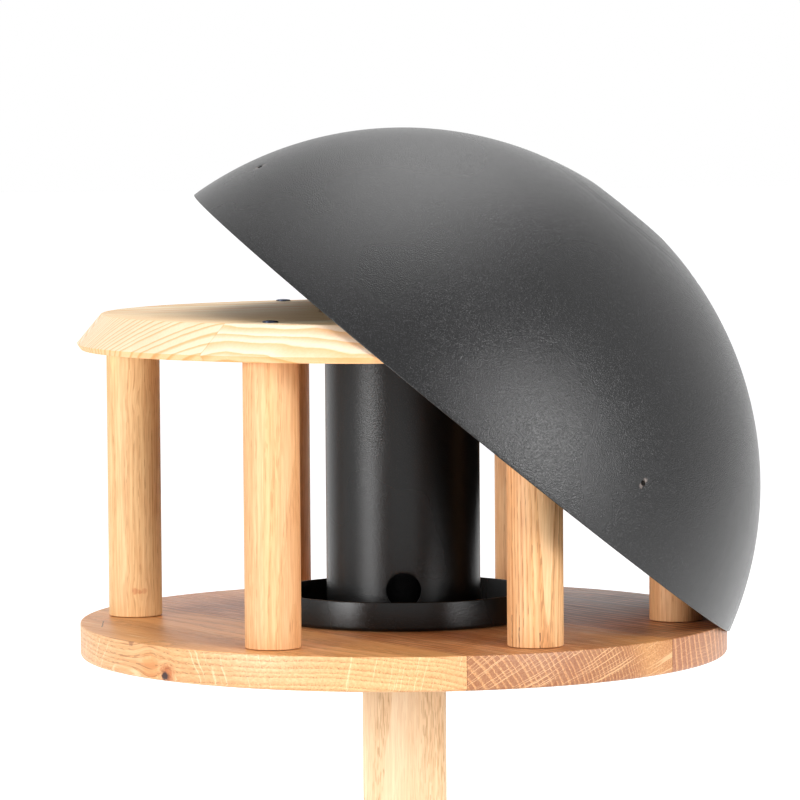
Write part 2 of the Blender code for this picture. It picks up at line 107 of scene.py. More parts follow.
class Sketch:
    """Adds nodes to a tree and feeds their sockets from other sockets or plain values."""

    def __init__(self, tree: NodeTree) -> None:
        """Starts on a tree, which may hold nodes already."""
        self.tree = tree

    def add(self, kind: str, inputs: dict | None = None, **settings: object) -> Node:
        """Adds one node.

        Args:
            kind: the node's type name.
            inputs: what feeds each input, by its name or number.
            settings: the node's own options.

        Returns:
            The new node.
        """
        node = self.tree.nodes.new(kind)
        for name, value in settings.items():
            setattr(node, name, value)
        self.feed(node, inputs or {})
        return node

    def feed(self, node: Node, inputs: dict) -> None:
        """Feeds a node's inputs.

        Args:
            node: the node.
            inputs: by name or number, a socket, a list of sockets for an input that takes several,
                or a plain value.
        """
        for key, value in inputs.items():
            for source in value if isinstance(value, list) else [value]:
                if isinstance(source, Socket):
                    self.tree.links.new(source, node.inputs[key])
                else:
                    node.inputs[key].default_value = source

    def out(self, kind: str, inputs: dict | None = None, **settings: object) -> Socket:
        """First output of a new node."""
        return self.add(kind, inputs, **settings).outputs[0]

    def use(self, group: NodeTree, inputs: dict) -> Outputs:
        """Outputs of a shared group, placed with its own values."""
        return self.add("ShaderNodeGroup", inputs, node_tree=group).outputs

    def math(self, operation: str, *values: object, clamp: bool = False) -> Socket:
        """Result of one arithmetic step."""
        return self.out("ShaderNodeMath", dict(enumerate(values)), operation=operation, use_clamp=clamp)

    def plus(self, first: object, second: object) -> Socket:
        """Sum of two values."""
        return self.math("ADD", first, second)

    def times(self, first: object, second: object) -> Socket:
        """Product of two values."""
        return self.math("MULTIPLY", first, second)

    def ratio(self, first: object, second: object) -> Socket:
        """First value divided by the second."""
        return self.math("DIVIDE", first, second)

    def vector(self, operation: str, *values: object) -> Socket:
        """Vector that one step of vector arithmetic gives."""
        return self.out("ShaderNodeVectorMath", dict(enumerate(values)), operation=operation)

    def measure(self, operation: str, *values: object) -> Socket:
        """Number that one step of vector arithmetic gives, such as a distance."""
        node = self.add("ShaderNodeVectorMath", dict(enumerate(values)), operation=operation)
        return node.outputs["Value"]

    def scaled(self, vector: object, factor: object) -> Socket:
        """A vector times a number."""
        return self.out("ShaderNodeVectorMath", {0: vector, "Scale": factor}, operation="SCALE")

    def stretched(self, vector: object, along: float, across: float) -> Socket:
        """A position multiplied by one factor along X and another across it."""
        return self.vector("MULTIPLY", vector, (along, across, across))

    def xyz(self, x: object = 0.0, y: object = 0.0, z: object = 0.0) -> Socket:
        """A vector put together from its parts."""
        return self.out("ShaderNodeCombineXYZ", {0: x, 1: y, 2: z})

    def parts(self, vector: object) -> Outputs:
        """The X, Y and Z of a vector."""
        return self.add("ShaderNodeSeparateXYZ", {0: vector}).outputs

    def noise(self, vector: object, scale: object = 1.0, detail: float = 2.0, roughness: float = 0.5,
              triple: bool = False) -> Socket:
        """Smooth noise in space.

        Args:
            vector: the position.
            scale: swings to a metre, or to a unit of a stretched position.
            detail: number of finer layers.
            roughness: strength of each finer layer.
            triple: gives three unlike noises at once.

        Returns:
            One value about a half, or three as a colour.
        """
        inputs = {"Vector": vector, "Scale": scale, "Detail": detail, "Roughness": roughness}
        node = self.add("ShaderNodeTexNoise", inputs, noise_dimensions="3D")
        return node.outputs["Color" if triple else 0]

    def wander(self, vector: object, scale: float = 1.0) -> Socket:
        """Smooth noise as a vector about zero."""
        noise = self.noise(vector, scale, detail=1.0, triple=True)
        return self.vector("SUBTRACT", noise, (0.5, 0.5, 0.5))

    def span(self, value: object, low: object, high: object, to_low: float = 0.0,
             to_high: float = 1.0) -> Socket:
        """Maps one range of values smoothly onto another, and holds it at the ends.

        Args:
            value: the value to map.
            low: where the first range starts.
            high: where it ends.
            to_low: what low becomes.
            to_high: what high becomes.

        Returns:
            The mapped value.
        """
        inputs = {"Value": value, "From Min": low, "From Max": high, "To Min": to_low,
                  "To Max": to_high}
        node = self.add("ShaderNodeMapRange", inputs, interpolation_type="SMOOTHSTEP")
        return node.outputs["Result"]

    def mix(self, share: object, first: object, second: object, blend: str = "MIX") -> Socket:
        """Mixes two colours, by the numbers of the colour sockets of the node."""
        inputs = {0: share, 6: first, 7: second}
        return self.add("ShaderNodeMix", inputs, data_type="RGBA", blend_type=blend).outputs[2]

    def tint(self, share: object, colour: object, by: object) -> Socket:
        """Multiplies a colour by another, in full or by a share."""
        return self.mix(share, colour, by, "MULTIPLY")

    def curve(self, value: object, stops: tuple[Point, ...]) -> Socket:
        """Looks a value up on a curve.

        Args:
            value: the place on the curve, from 0 to 1.
            stops: (place, height) points of the curve.

        Returns:
            The height there.
        """
        node = self.add("ShaderNodeValToRGB", {"Fac": value})
        elements = node.color_ramp.elements
        for place, _ in stops[2:]:
            elements.new(place)
        for element, (place, height) in zip(elements, stops):
            element.position = place
            element.color = (height, height, height, 1.0)
        return node.outputs["Color"]

    def bump(self, height: Socket, strength: float, distance: float) -> Socket:
        """Normal of a surface with a height on it."""
        return self.out("ShaderNodeBump", {"Strength": strength, "Distance": distance, "Height": height})

    def moved(self, kind: str, inputs: dict, height: object) -> Socket:
        """Geometry made by one node and moved along Z."""
        shape = self.out(kind, inputs)
        return self.out("GeometryNodeTransform", {"Geometry": shape, "Translation": self.xyz(z=height)})


def node_group(name: str, inputs: tuple[str, ...], outputs: tuple[str, ...],
               kind: str = "ShaderNodeTree") -> tuple[Sketch, list[Socket]]:
    """Starts a node group.

    Args:
        name: the group's name.
        inputs: names of its inputs.
        outputs: names of its outputs.
        kind: the tree's type name.

    Returns:
        A sketch of the group, and what comes in by each input.
    """
    tree = bpy.data.node_groups.new(name, kind)
    for in_out, names in (("INPUT", inputs), ("OUTPUT", outputs)):
        for socket_name in names:
            socket_type = "NodeSocket" + SOCKET_KINDS.get(socket_name, "Float")
            tree.interface.new_socket(name=socket_name, in_out=in_out, socket_type=socket_type)
    sketch = Sketch(tree)
    return sketch, list(sketch.add("NodeGroupInput").outputs)[:len(inputs)]


def build_growth_group() -> NodeTree:
    """The growth of a trunk round the X axis: years, vessels, rays and fibres.

    Returns:
        A group that takes a position in the trunk's frame. It gives the radius, the part of the year
        from 0 to 1, and masks from 0 to 1.
    """
    sketch, (vector, width, slowing, waviness, ray_radius, rarity, seed) = node_group(
        "trunk_growth",
        ("Vector", "Year width", "Slowing", "Waviness", "Ray radius", "Ray rarity", "Seed"),
        ("Year", "Radius", "Vessels", "Rays", "Fibre", "Tone"),
    )
    place = sketch.vector("ADD", vector, sketch.xyz(seed, seed, seed))

    # The trunk is not quite straight, and its year lines are ragged.
    slow = sketch.scaled(sketch.wander(sketch.stretched(place, 4.0, 24.0)), waviness)
    ragged = sketch.wander(sketch.stretched(place, 50.0, 210.0))
    ragged = sketch.vector("MULTIPLY", ragged, (0.0, 0.0007, 0.0007))
    bent = sketch.vector("ADD", sketch.vector("ADD", vector, slow), ragged)
    along, side, height = sketch.parts(bent)
    radius = sketch.math("SQRT", sketch.plus(sketch.times(side, side), sketch.times(height, height)))

    # Years narrow towards the bark where slowing is above zero, and no two are alike.
    grown_radius = 0.18
    aged = sketch.math("POWER", sketch.ratio(radius, grown_radius), 4.0)
    aged = sketch.plus(sketch.times(aged, slowing), 1.0)
    years = sketch.times(sketch.ratio(radius, width), aged)
    uneven = sketch.noise(sketch.xyz(sketch.times(years, 0.45), seed), detail=1.0)
    year = sketch.math("FRACT", sketch.plus(years, sketch.times(uneven, 1.4)))

    # Vessels are short dashes, most of them in the early part of a year.
    tubes = sketch.noise(sketch.stretched(place, 130.0, 2300.0), detail=0.0)
    early = sketch.curve(year, ((0.0, 0.5), (0.06, 1.0), (0.26, 0.9), (0.40, 0.25), (1.0, 0.12)))
    vessels = sketch.times(sketch.span(tubes, 0.54, 0.63), early)

    # Rays run from the heart to the bark.
    arc = sketch.times(sketch.math("ARCTAN2", height, side), ray_radius)
    ray_place = sketch.xyz(sketch.times(along, 30.0), sketch.times(arc, 2000.0),
                           sketch.times(radius, 22.0))
    rays = sketch.span(sketch.noise(ray_place, detail=0.0), rarity, sketch.plus(rarity, 0.06))

    fibre = sketch.noise(sketch.stretched(place, 34.0, 1000.0), roughness=0.6)
    tone = sketch.noise(sketch.stretched(place, 2.5, 30.0))
    sketch.add("NodeGroupOutput", {"Year": year, "Radius": radius, "Vessels": vessels, "Rays": rays,
                                   "Fibre": fibre, "Tone": tone})
    return sketch.tree


def build_knot_group() -> NodeTree:
    """A knot: the grain swells round its centre, and its heart is dark.

    Returns:
        A group that gives the pushed position and the mask of the heart.
    """
    sketch, (vector, centre, reach, push) = node_group(
        "knot", ("Vector", "Centre", "Reach", "Push"), ("Vector", "Heart"),
    )
    away = sketch.vector("SUBTRACT", vector, centre)
    share = sketch.ratio(sketch.measure("LENGTH", away), reach)
    fall = sketch.math("POWER", math.e, sketch.times(sketch.math("POWER", share, 2.0), -1.0))
    pushed = sketch.vector("SUBTRACT", vector, sketch.scaled(away, sketch.times(fall, push)))
    edge = sketch.plus(share, sketch.times(sketch.noise(vector, 400.0), 0.35))
    sketch.add("NodeGroupOutput", {"Vector": pushed, "Heart": sketch.span(edge, 0.62, 0.40)})
    return sketch.tree


def build_spot_group() -> NodeTree:
    """A ragged round spot.

    Returns:
        A group that takes a position, a centre and a radius, and gives a mask from 0 to 1.
    """
    sketch, (vector, centre, radius) = node_group(
        "ragged_spot", ("Vector", "Centre", "Radius"), ("Spot",),
    )
    share = sketch.ratio(sketch.measure("DISTANCE", vector, centre), radius)
    ragged = sketch.noise(vector, 420.0, detail=3.0, roughness=0.7)
    share = sketch.plus(share, sketch.times(ragged, 1.6))
    sketch.add("NodeGroupOutput", {"Spot": sketch.span(share, 2.0, 1.3)})
    return sketch.tree


def build_crack_group() -> NodeTree:
    """A drying crack: a thin wandering line between two places.

    Returns:
        A group that takes a position, a start, the way to the end and a width, and gives a mask.
    """
    sketch, (vector, start, way, width) = node_group(
        "drying_crack", ("Vector", "Start", "Way", "Width"), ("Crack",),
    )
    wander = sketch.vector("MULTIPLY", sketch.wander(vector, 260.0), (0.0012, 0.0012, 0.0))
    away = sketch.vector("ADD", sketch.vector("SUBTRACT", vector, start), wander)
    reach = sketch.measure("DOT_PRODUCT", away, way)
    part = sketch.math("DIVIDE", reach, sketch.measure("DOT_PRODUCT", way, way), clamp=True)
    distance = sketch.measure("DISTANCE", away, sketch.scaled(way, part))
    sketch.add("NodeGroupOutput", {"Crack": sketch.span(sketch.ratio(distance, width), 1.0, 0.4)})
    return sketch.tree


def build_coat_group() -> NodeTree:
    """The skin of a powder coat: orange peel, fine grain and the peaks where glints are painted.

    Returns:
        A group that takes a position and the sizes of grain and peel, and gives a height, a mask of
        the grain's peaks, where glints are painted, and a broad cloudy pattern.
    """
    sketch, (vector, grain, peel) = node_group(
        "powder_coat_skin", ("Vector", "Grain", "Peel"), ("Height", "Glint", "Cloud"),
    )
    fine = sketch.noise(vector, sketch.ratio(1.0, grain), detail=0.0)
    broad = sketch.noise(vector, sketch.ratio(1.0, peel), detail=1.0)
    sketch.add("NodeGroupOutput", {
        "Height": sketch.plus(fine, sketch.times(broad, 0.12)),
        "Glint": sketch.span(fine, 0.60, 0.80),
        "Cloud": sketch.noise(vector, 9.0),
    })
    return sketch.tree


def new_material(name: str) -> tuple[Material, Sketch, Node]:
    """Starts a material.

    Args:
        name: the material's name.

    Returns:
        The material, its sketch and its Principled shader.
    """
    material = bpy.data.materials.new(name)
    material.use_nodes = True
    return material, Sketch(material.node_tree), material.node_tree.nodes["Principled BSDF"]


@dataclass(frozen=True)
class Trunk:
    """Where in its trunk a piece was sawn.

    heading_deg is the way that the trunk runs in plan. heart_side and heart_height place the heart
    across the trunk: left of the heading and up, or for an upright piece along +Y and -X.
    """

    heading_deg: float = 0.0
    upright: bool = False
    heart_side: float = 0.0
    heart_height: float = -0.15
    seed: float = 0.0

    def turn(self) -> Place:
        """Rotation, in radians, from the object's axes to the trunk's."""
        return (0.0, math.pi / 2, 0.0) if self.upright else (0.0, 0.0, -math.radians(self.heading_deg))

    def shift(self) -> Place:
        """Move that brings the heart of the trunk to the X axis."""
        return (0.0, -self.heart_side, -self.heart_height)

    def inside(self, place: Place) -> Place:
        """Turns a place on the piece into the trunk's frame.

        Args:
            place: the place in the object's axes.

        Returns:
            The same place in the trunk's.
        """
        x, y, z = place
        if self.upright:
            turned_place = Vector((z, y, -x))
        else:
            turned_place = Matrix.Rotation(-math.radians(self.heading_deg), 3, "Z") @ Vector(place)
        return tuple(turned_place + Vector(self.shift()))


@dataclass(frozen=True)
class Knot:
    """A knot at a place on a piece."""

    place: Place
    reach: float
    push: float
    darkness: float


@dataclass(frozen=True)
class Stain:
    """A soft patch of another tone at a place on a piece."""

    place: Place
    radius: float
    colour: Colour
    share: float


@dataclass(frozen=True)
class Crack:
    """A drying crack between two places."""

    start: Place
    end: Place
    width: float
    share: float = 0.8


@dataclass(frozen=True)
class Sapwood:
    """The paler outer wood of a trunk. It begins inside a radius and is full outside it."""

    radius: float
    colour: Colour
    begins_inside: float = 0.014
    full_outside: float = 0.006


@dataclass(frozen=True)
class WoodFinish:
    """Colours and growth of one wood.

    ground is the wood between the year lines, and year_profile gives the strength of the line colour
    over the year. shade_colour is what a darker patch tends to. The top tint is painted light on faces
    that look up: it makes the top lighter or darker as the light falls on it, and paints a sheen on the
    boards. The side tint is painted shade, warmed as by light thrown up from the board, on faces that
    look sideways or down. The patches on the top darken it below one as smudges, and above one they
    lighten it as scuffs with a painted sheen.
    """

    name: str
    slot: str
    ground: Colour
    line: Colour
    vessel: Colour
    ray: Colour
    year_profile: tuple[Point, ...]
    year_width: float
    waviness: float
    vessel_share: float
    ray_share: float
    line_share: float = 1.0
    slowing: float = 0.0
    shade_colour: Colour = srgb(205, 150, 98)
    fibre_share: float = 0.35
    tone_share: float = 0.35
    # Painted light on the top, painted shade on the sides, and smudges with a painted sheen on the top.
    top_light_tint: Colour = WHITE
    painted_side_shade: Colour | None = None
    smudges_and_sheen: Colour | None = None
    end_darkness: float = 0.0
    roughness: float = 0.55
    ray_radius: float = 0.12
    ray_rarity: float = 0.64
    sapwood: Sapwood | None = None
    knots: tuple[Knot, ...] = ()
    stains: tuple[Stain, ...] = ()
    cracks: tuple[Crack, ...] = ()

    def material(self, piece: str, trunk: Trunk, groups: Groups) -> Material:
        """Builds the material of one piece.

        Args:
            piece: the piece's name, which names the material too.
            trunk: where the piece was sawn.
            groups: the shared node groups by name.

        Returns:
            The material.
        """
        material, sketch, shader = new_material(f"{self.name}_{piece}")
        spot = sketch.add("ShaderNodeTexCoord").outputs
        position = sketch.out("ShaderNodeMapping", {
            "Vector": spot["Object"], "Rotation": trunk.turn(), "Location": trunk.shift(),
        })
        hearts = []
        for knot in self.knots:
            swelling = sketch.use(groups["knot"], {
                "Vector": position, "Centre": trunk.inside(knot.place), "Reach": knot.reach,
                "Push": knot.push,
            })
            position = swelling["Vector"]
            hearts.append(sketch.times(swelling["Heart"], knot.darkness))
        growth = sketch.use(groups["growth"], {
            "Vector": position, "Year width": self.year_width, "Slowing": self.slowing,
            "Waviness": self.waviness, "Ray radius": self.ray_radius, "Ray rarity": self.ray_rarity,
            "Seed": trunk.seed,
        })
        colour = self.faced(sketch, spot, trunk, self.grained(sketch, growth))
        colour = sketch.mix(sketch.times(growth["Rays"], self.ray_share), colour, self.ray)
        vessels = sketch.times(growth["Vessels"], self.vessel_share)
        colour = sketch.mix(vessels, colour, self.vessel)
        colour = self.marked(sketch, spot["Object"], groups, colour)
        for heart in hearts:
            colour = sketch.mix(heart, colour, HEART_SHADE)
        fibre = growth["Fibre"]
        relief = sketch.math("SUBTRACT", sketch.times(fibre, 0.3), vessels)
        sketch.feed(shader, {
            "Base Color": colour,
            "Roughness": sketch.span(fibre, 0.2, 0.8, self.roughness + 0.08, self.roughness - 0.06),
            "Normal": sketch.bump(relief, strength=0.4, distance=0.00012),
        })
        return material

    def grained(self, sketch: Sketch, growth: Outputs) -> Socket:
        """Colours the years, the sapwood, the fibres and the broad tones.

        Args:
            sketch: the material's sketch.
            growth: outputs of the growth group.

        Returns:
            The colour.
        """
        ground = self.ground
        if self.sapwood is not None:
            outer = sketch.span(growth["Radius"], self.sapwood.radius - self.sapwood.begins_inside,
                                self.sapwood.radius + self.sapwood.full_outside)
            ground = sketch.mix(outer, self.ground, self.sapwood.colour)
        line = sketch.times(sketch.curve(growth["Year"], self.year_profile), self.line_share)
        colour = sketch.mix(line, ground, self.line)
        fibre = sketch.span(growth["Fibre"], 0.36, 0.64, self.fibre_share, 0.0)
        tone = sketch.span(growth["Tone"], 0.3, 0.7, self.tone_share, 0.0)
        return sketch.tint(tone, sketch.tint(fibre, colour, self.shade_colour), self.shade_colour)

    def faced(self, sketch: Sketch, spot: Outputs, trunk: Trunk, colour: Socket) -> Socket:
        """Darkens end grain, and paints light and shade on faces by the way that they look.

        Args:
            sketch: the material's sketch.
            spot: outputs of the texture coordinates.
            trunk: where the piece was sawn.
            colour: the colour so far.

        Returns:
            The colour.
        """
        face = sketch.out("ShaderNodeMapping", {"Vector": spot["Normal"], "Rotation": trunk.turn()},
                          vector_type="VECTOR")
        across_grain = sketch.math("ABSOLUTE", sketch.parts(face)[0])
        colour = sketch.tint(1.0, colour, sketch.span(across_grain, 0.35, 0.95, 1.0,
                                                      1.0 - self.end_darkness))
        upward = sketch.parts(spot["Normal"])[2]
        # Painted light: faces that look up get the top tint, which paints how the light falls on the top
        # and a sheen.
        top = sketch.span(upward, 0.72, 0.95)
        colour = sketch.tint(top, colour, self.top_light_tint)
        # Painted shade on faces that look sideways or down, warmed as by light thrown up from the board.
        if self.painted_side_shade is not None:
            colour = sketch.tint(sketch.span(upward, 0.1, 0.4, 1.0, 0.0), colour, self.painted_side_shade)
        # Patches on the top: where they darken it they are smudges, and where they lighten it they are
        # scuffs with a painted sheen.
        if self.smudges_and_sheen is not None:
            smudge_sheen_mask = sketch.span(sketch.noise(spot["Object"], 30.0, detail=3.0, roughness=0.62), 0.42, 0.66)
            colour = sketch.tint(sketch.times(smudge_sheen_mask, top), colour, self.smudges_and_sheen)
        return colour

    def marked(self, sketch: Sketch, place: Socket, groups: Groups, colour: Socket) -> Socket:
        """Adds the stains and the cracks.

        Args:
            sketch: the material's sketch.
            place: the position in the object's axes.
            groups: the shared node groups by name.
            colour: the colour so far.

        Returns:
            The colour.
        """
        for stain in self.stains:
            mask = sketch.use(groups["spot"], {"Vector": place, "Centre": stain.place,
                                               "Radius": stain.radius})["Spot"]
            colour = sketch.tint(sketch.times(mask, stain.share), colour, stain.colour)
        for crack in self.cracks:
            way = tuple(Vector(crack.end) - Vector(crack.start))
            mask = sketch.use(groups["crack"], {"Vector": place, "Start": crack.start, "Way": way,
                                                "Width": crack.width})["Crack"]
            colour = sketch.mix(sketch.times(mask, crack.share), colour, CRACK_SHADE)
        return colour


@dataclass(frozen=True)
class CoatFinish:
    """A powder coat on sheet steel."""

    name: str
    slot: str
    colour: Colour
    # Paler colour painted on the grain's peaks as glints of light.
    painted_glint: Colour
    roughness: float
    grain: float
    relief: float
    painted_glint_share: float
    specular: float
    peel: float = 0.0030
    chip_radius: float = 0.0014
    chip_share: float = 0.6
    spin_lines: float = 420.0
    spin_share: float = 0.12

    def material(self, groups: Groups, pole: Matrix | None = None,
                 chips: tuple[Vector, ...] = ()) -> Material:
        """Builds the material.

        Args:
            groups: the shared node groups by name.
            pole: turn from the object's axes to those of a spun sheet, which gets fine spin lines.
            chips: places where the coat has flaked off round a punched hole.

        Returns:
            The material.
        """
        material, sketch, shader = new_material(self.name)
        place = sketch.add("ShaderNodeTexCoord").outputs["Object"]
        skin = sketch.use(groups["coat"], {"Vector": place, "Grain": self.grain, "Peel": self.peel})
        cloud = skin["Cloud"]
        # Painted glints: the peaks of the grain are painted paler, as sparkle of light on the coat.
        colour = sketch.mix(sketch.times(skin["Glint"], self.painted_glint_share), self.colour, self.painted_glint)
        colour = sketch.tint(1.0, colour, sketch.span(cloud, 0.3, 0.7, 0.88, 1.0))
        for chip in chips:
            mask = sketch.use(groups["spot"], {"Vector": place, "Centre": tuple(chip),
                                               "Radius": self.chip_radius})["Spot"]
            colour = sketch.mix(sketch.times(mask, self.chip_share), colour, BARE_METAL)
        height = skin["Height"]
        if pole is not None:
            spun_place = sketch.out("ShaderNodeMapping", {
                "Vector": place, "Rotation": tuple(pole.to_euler()),
                "Location": tuple(pole.to_translation()),
            })
            level = sketch.times(sketch.parts(spun_place)[2], self.spin_lines)
            height = sketch.plus(height, sketch.times(sketch.noise(sketch.xyz(z=level)), self.spin_share))
        sketch.feed(shader, {
            "Base Color": colour,
            "Roughness": sketch.span(cloud, 0.3, 0.7, self.roughness - 0.03, self.roughness + 0.04),
            "Normal": sketch.bump(height, strength=0.8, distance=self.relief),
            "Specular IOR Level": self.specular,
        })
        return material


@dataclass(frozen=True)
class SteelFinish:
    """Screw steel, blackened or zinc-plated."""

    name: str
    slot: str
    colour: Colour
    roughness: float = 0.34
    grain: float = 0.0004
    peel: float = 0.002

    def material(self, groups: Groups) -> Material:
        """Builds the material, with the coat group's grain as handling marks.

        Args:
            groups: the shared node groups by name.

        Returns:
            The material.
        """
        material, sketch, shader = new_material(self.name)
        place = sketch.add("ShaderNodeTexCoord").outputs["Object"]
        skin = sketch.use(groups["coat"], {"Vector": place, "Grain": self.grain, "Peel": self.peel})
        shade = sketch.span(skin["Glint"], 0.0, 1.0, 0.8, 1.0)
        rough = sketch.span(skin["Height"], 0.3, 0.7, self.roughness - 0.08, self.roughness + 0.08)
        sketch.feed(shader, {"Base Color": sketch.tint(1.0, self.colour, shade), "Roughness": rough,
                             "Metallic": 1.0})
        return material


OAK_LINES = ((0.0, 0.0), (0.06, 1.0), (0.26, 0.85), (0.40, 0.1), (1.0, 0.0))
OAK_BANDS = ((0.0, 0.8), (0.12, 1.0), (0.35, 0.7), (0.70, 0.15), (1.0, 0.0))
PINE_LINES = ((0.0, 0.5), (0.08, 0.0), (0.62, 0.05), (0.90, 1.0), (1.0, 0.8))
PINE_WAVES = ((0.0, 0.7), (0.10, 0.0), (0.30, 0.0), (0.75, 0.7), (1.0, 1.0))

# On the board's staves the top tint is painted light on the top, and the pale patches of the middle and
# right staves are scuffs with a painted sheen.
BOARD_LEFT = WoodFinish(
    "oak", "board_oak", ground=srgb(247, 197, 143), line=srgb(222, 168, 110), vessel=srgb(166, 110, 62),
    ray=srgb(253, 220, 174), year_profile=OAK_BANDS, year_width=0.0027, waviness=0.007,
    vessel_share=0.70, ray_share=0.55, line_share=0.70, fibre_share=0.30, tone_share=0.20,
    ray_radius=0.20, ray_rarity=0.70, roughness=0.40, top_light_tint=(1.02, 0.94, 0.76, 1.0),
    knots=(Knot((-0.1318, -0.1162, 0.2580), 0.011, 0.75, 0.0),
           Knot((-0.1232, -0.1243, 0.2532), 0.0060, 0.7, 0.0),
           Knot((-0.1050, -0.1138, 0.2683), 0.0010, 0.0, 0.9)),
    stains=(Stain((-0.1420, -0.1022, 0.2686), 0.0026, srgb(128, 78, 42), 0.6),
            Stain((-0.1318, -0.1162, 0.2560), 0.0080, srgb(244, 206, 150), 0.5),
            Stain((-0.1222, -0.1252, 0.2540), 0.0052, srgb(206, 150, 100), 0.8),
            Stain((-0.1232, -0.1243, 0.2530), 0.0030, srgb(64, 36, 26), 1.0)),
    cracks=(Crack((-0.1624, -0.0072, 0.2683), (-0.1613, -0.0351, 0.2683), 0.0004),),
)
BOARD_MIDDLE = WoodFinish(
    "oak", "board_oak", ground=srgb(170, 117, 79), line=srgb(221, 168, 116), vessel=srgb(108, 64, 36),
    ray=srgb(236, 188, 138), year_profile=OAK_LINES, year_width=0.0038, slowing=0.2, waviness=0.005,
    vessel_share=0.45, ray_share=0.80, fibre_share=0.45, tone_share=0.25, ray_radius=0.15,
    ray_rarity=0.635, roughness=0.40, top_light_tint=(1.32, 1.27, 1.12, 1.0), smudges_and_sheen=(1.10, 1.12, 1.12, 1.0),
    sapwood=Sapwood(0.186, srgb(214, 160, 103)),
)
BOARD_RIGHT = WoodFinish(
    "oak", "board_oak", ground=srgb(172, 117, 84), line=srgb(226, 172, 124), vessel=srgb(110, 66, 40),
    ray=srgb(226, 174, 128), year_profile=OAK_LINES, year_width=0.0056, waviness=0.016,
    vessel_share=0.35, ray_share=0.45, tone_share=0.25, ray_radius=0.15, ray_rarity=0.67,
    roughness=0.40, top_light_tint=(1.18, 1.14, 1.04, 1.0), smudges_and_sheen=(1.25, 1.28, 1.32, 1.0),
)
PILLAR_OAK = WoodFinish(
    "oak", "pillar_oak", ground=srgb(240, 195, 143), line=srgb(228, 177, 120), vessel=srgb(184, 126, 74),
    ray=srgb(255, 226, 178), year_profile=OAK_BANDS, year_width=0.0023, waviness=0.012,
    vessel_share=0.52, ray_share=0.10, line_share=0.45, fibre_share=0.32, tone_share=0.30,
    end_darkness=0.25, ray_radius=0.10,
)
# A paler copy of the pillar oak, with its own knots and stains. The paler ground is partly painted light:
# it lifts the shaded right side of this pillar.
LEFT_PILLAR_OAK = replace(
    PILLAR_OAK, ground=srgb(252, 221, 166), line=srgb(242, 198, 140),
    knots=(Knot((-0.1433, 0.0070, 0.2826), 0.006, 0.45, 0.0),
           Knot((-0.1400, 0.0080, 0.3870), 0.008, 0.35, 0.0)),
    stains=(Stain((-0.1458, 0.0066, 0.2830), 0.0018, srgb(214, 120, 70), 0.45),
            Stain((-0.1434, 0.0069, 0.2826), 0.0014, srgb(214, 120, 70), 0.45),
            Stain((-0.1410, 0.0074, 0.2828), 0.0016, srgb(214, 120, 70), 0.35)),
)
CRACKED_PILLAR_OAK = replace(
    PILLAR_OAK, ground=srgb(246, 204, 152), line=srgb(220, 162, 100), vessel=srgb(150, 94, 50),
    line_share=0.80, vessel_share=0.62,
    cracks=(Crack((0.0550, -0.1398, 0.2680), (0.0551, -0.1398, 0.2850), 0.0005),
            Crack((0.0585, -0.1435, 0.2680), (0.0585, -0.1435, 0.2790), 0.0004),
            Crack((0.0691, -0.1462, 0.2680), (0.0691, -0.1462, 0.2765), 0.0004)),
)
POST_OAK = WoodFinish(
    "oak", "post_oak", ground=srgb(250, 224, 188), line=srgb(240, 208, 166), vessel=srgb(190, 146, 100),
    ray=srgb(252, 230, 196), year_profile=OAK_BANDS, year_width=0.0042, waviness=0.010,
    vessel_share=0.70, ray_share=0.15, fibre_share=0.25, tone_share=0.20, end_darkness=0.25,
    shade_colour=srgb(220, 182, 136), ray_radius=0.10,
)
# On the ring the top tint is painted light on the top, the side tint is painted warm shade on the edge and
# the lower chamfer, and the darker patches on the top are smudges.
RING_LEFT = WoodFinish(
    "pine", "ring_pine", ground=srgb(254, 228, 199), line=srgb(236, 186, 130), vessel=srgb(170, 120, 70),
    ray=srgb(250, 226, 180), year_profile=PINE_LINES, year_width=0.058, slowing=1.0, waviness=0.004,
    vessel_share=0.0, ray_share=0.0, fibre_share=0.10, tone_share=0.20, top_light_tint=(1.0, 1.02, 0.90, 1.0),
    painted_side_shade=(1.0, 0.80, 0.56, 1.0), smudges_and_sheen=(0.95, 0.92, 0.87, 1.0), shade_colour=srgb(236, 192, 136),
)
RING_RIGHT = replace(
    RING_LEFT, ground=srgb(255, 232, 208), line=srgb(244, 194, 142), year_profile=PINE_WAVES,
    year_width=0.0046, slowing=0.0, waviness=0.018,
)
ROOF_COAT = CoatFinish(
    "anthracite_coat", "roof_coat", srgb(20, 20, 21), srgb(84, 84, 86), roughness=0.26,
    grain=0.00050, relief=0.00023, painted_glint_share=0.30, specular=0.37,
)
BLACK_COAT = CoatFinish(
    "black_coat", "black_coat", srgb(13, 13, 13), srgb(66, 66, 66), roughness=0.27,
    grain=0.00044, relief=0.00011, painted_glint_share=0.18, specular=0.31,
)
BLACK_STEEL = SteelFinish("blackened_steel", "black_steel", srgb(74, 82, 104))
ZINC_STEEL = SteelFinish("zinc_plated_steel", "zinc_steel", srgb(196, 196, 190))


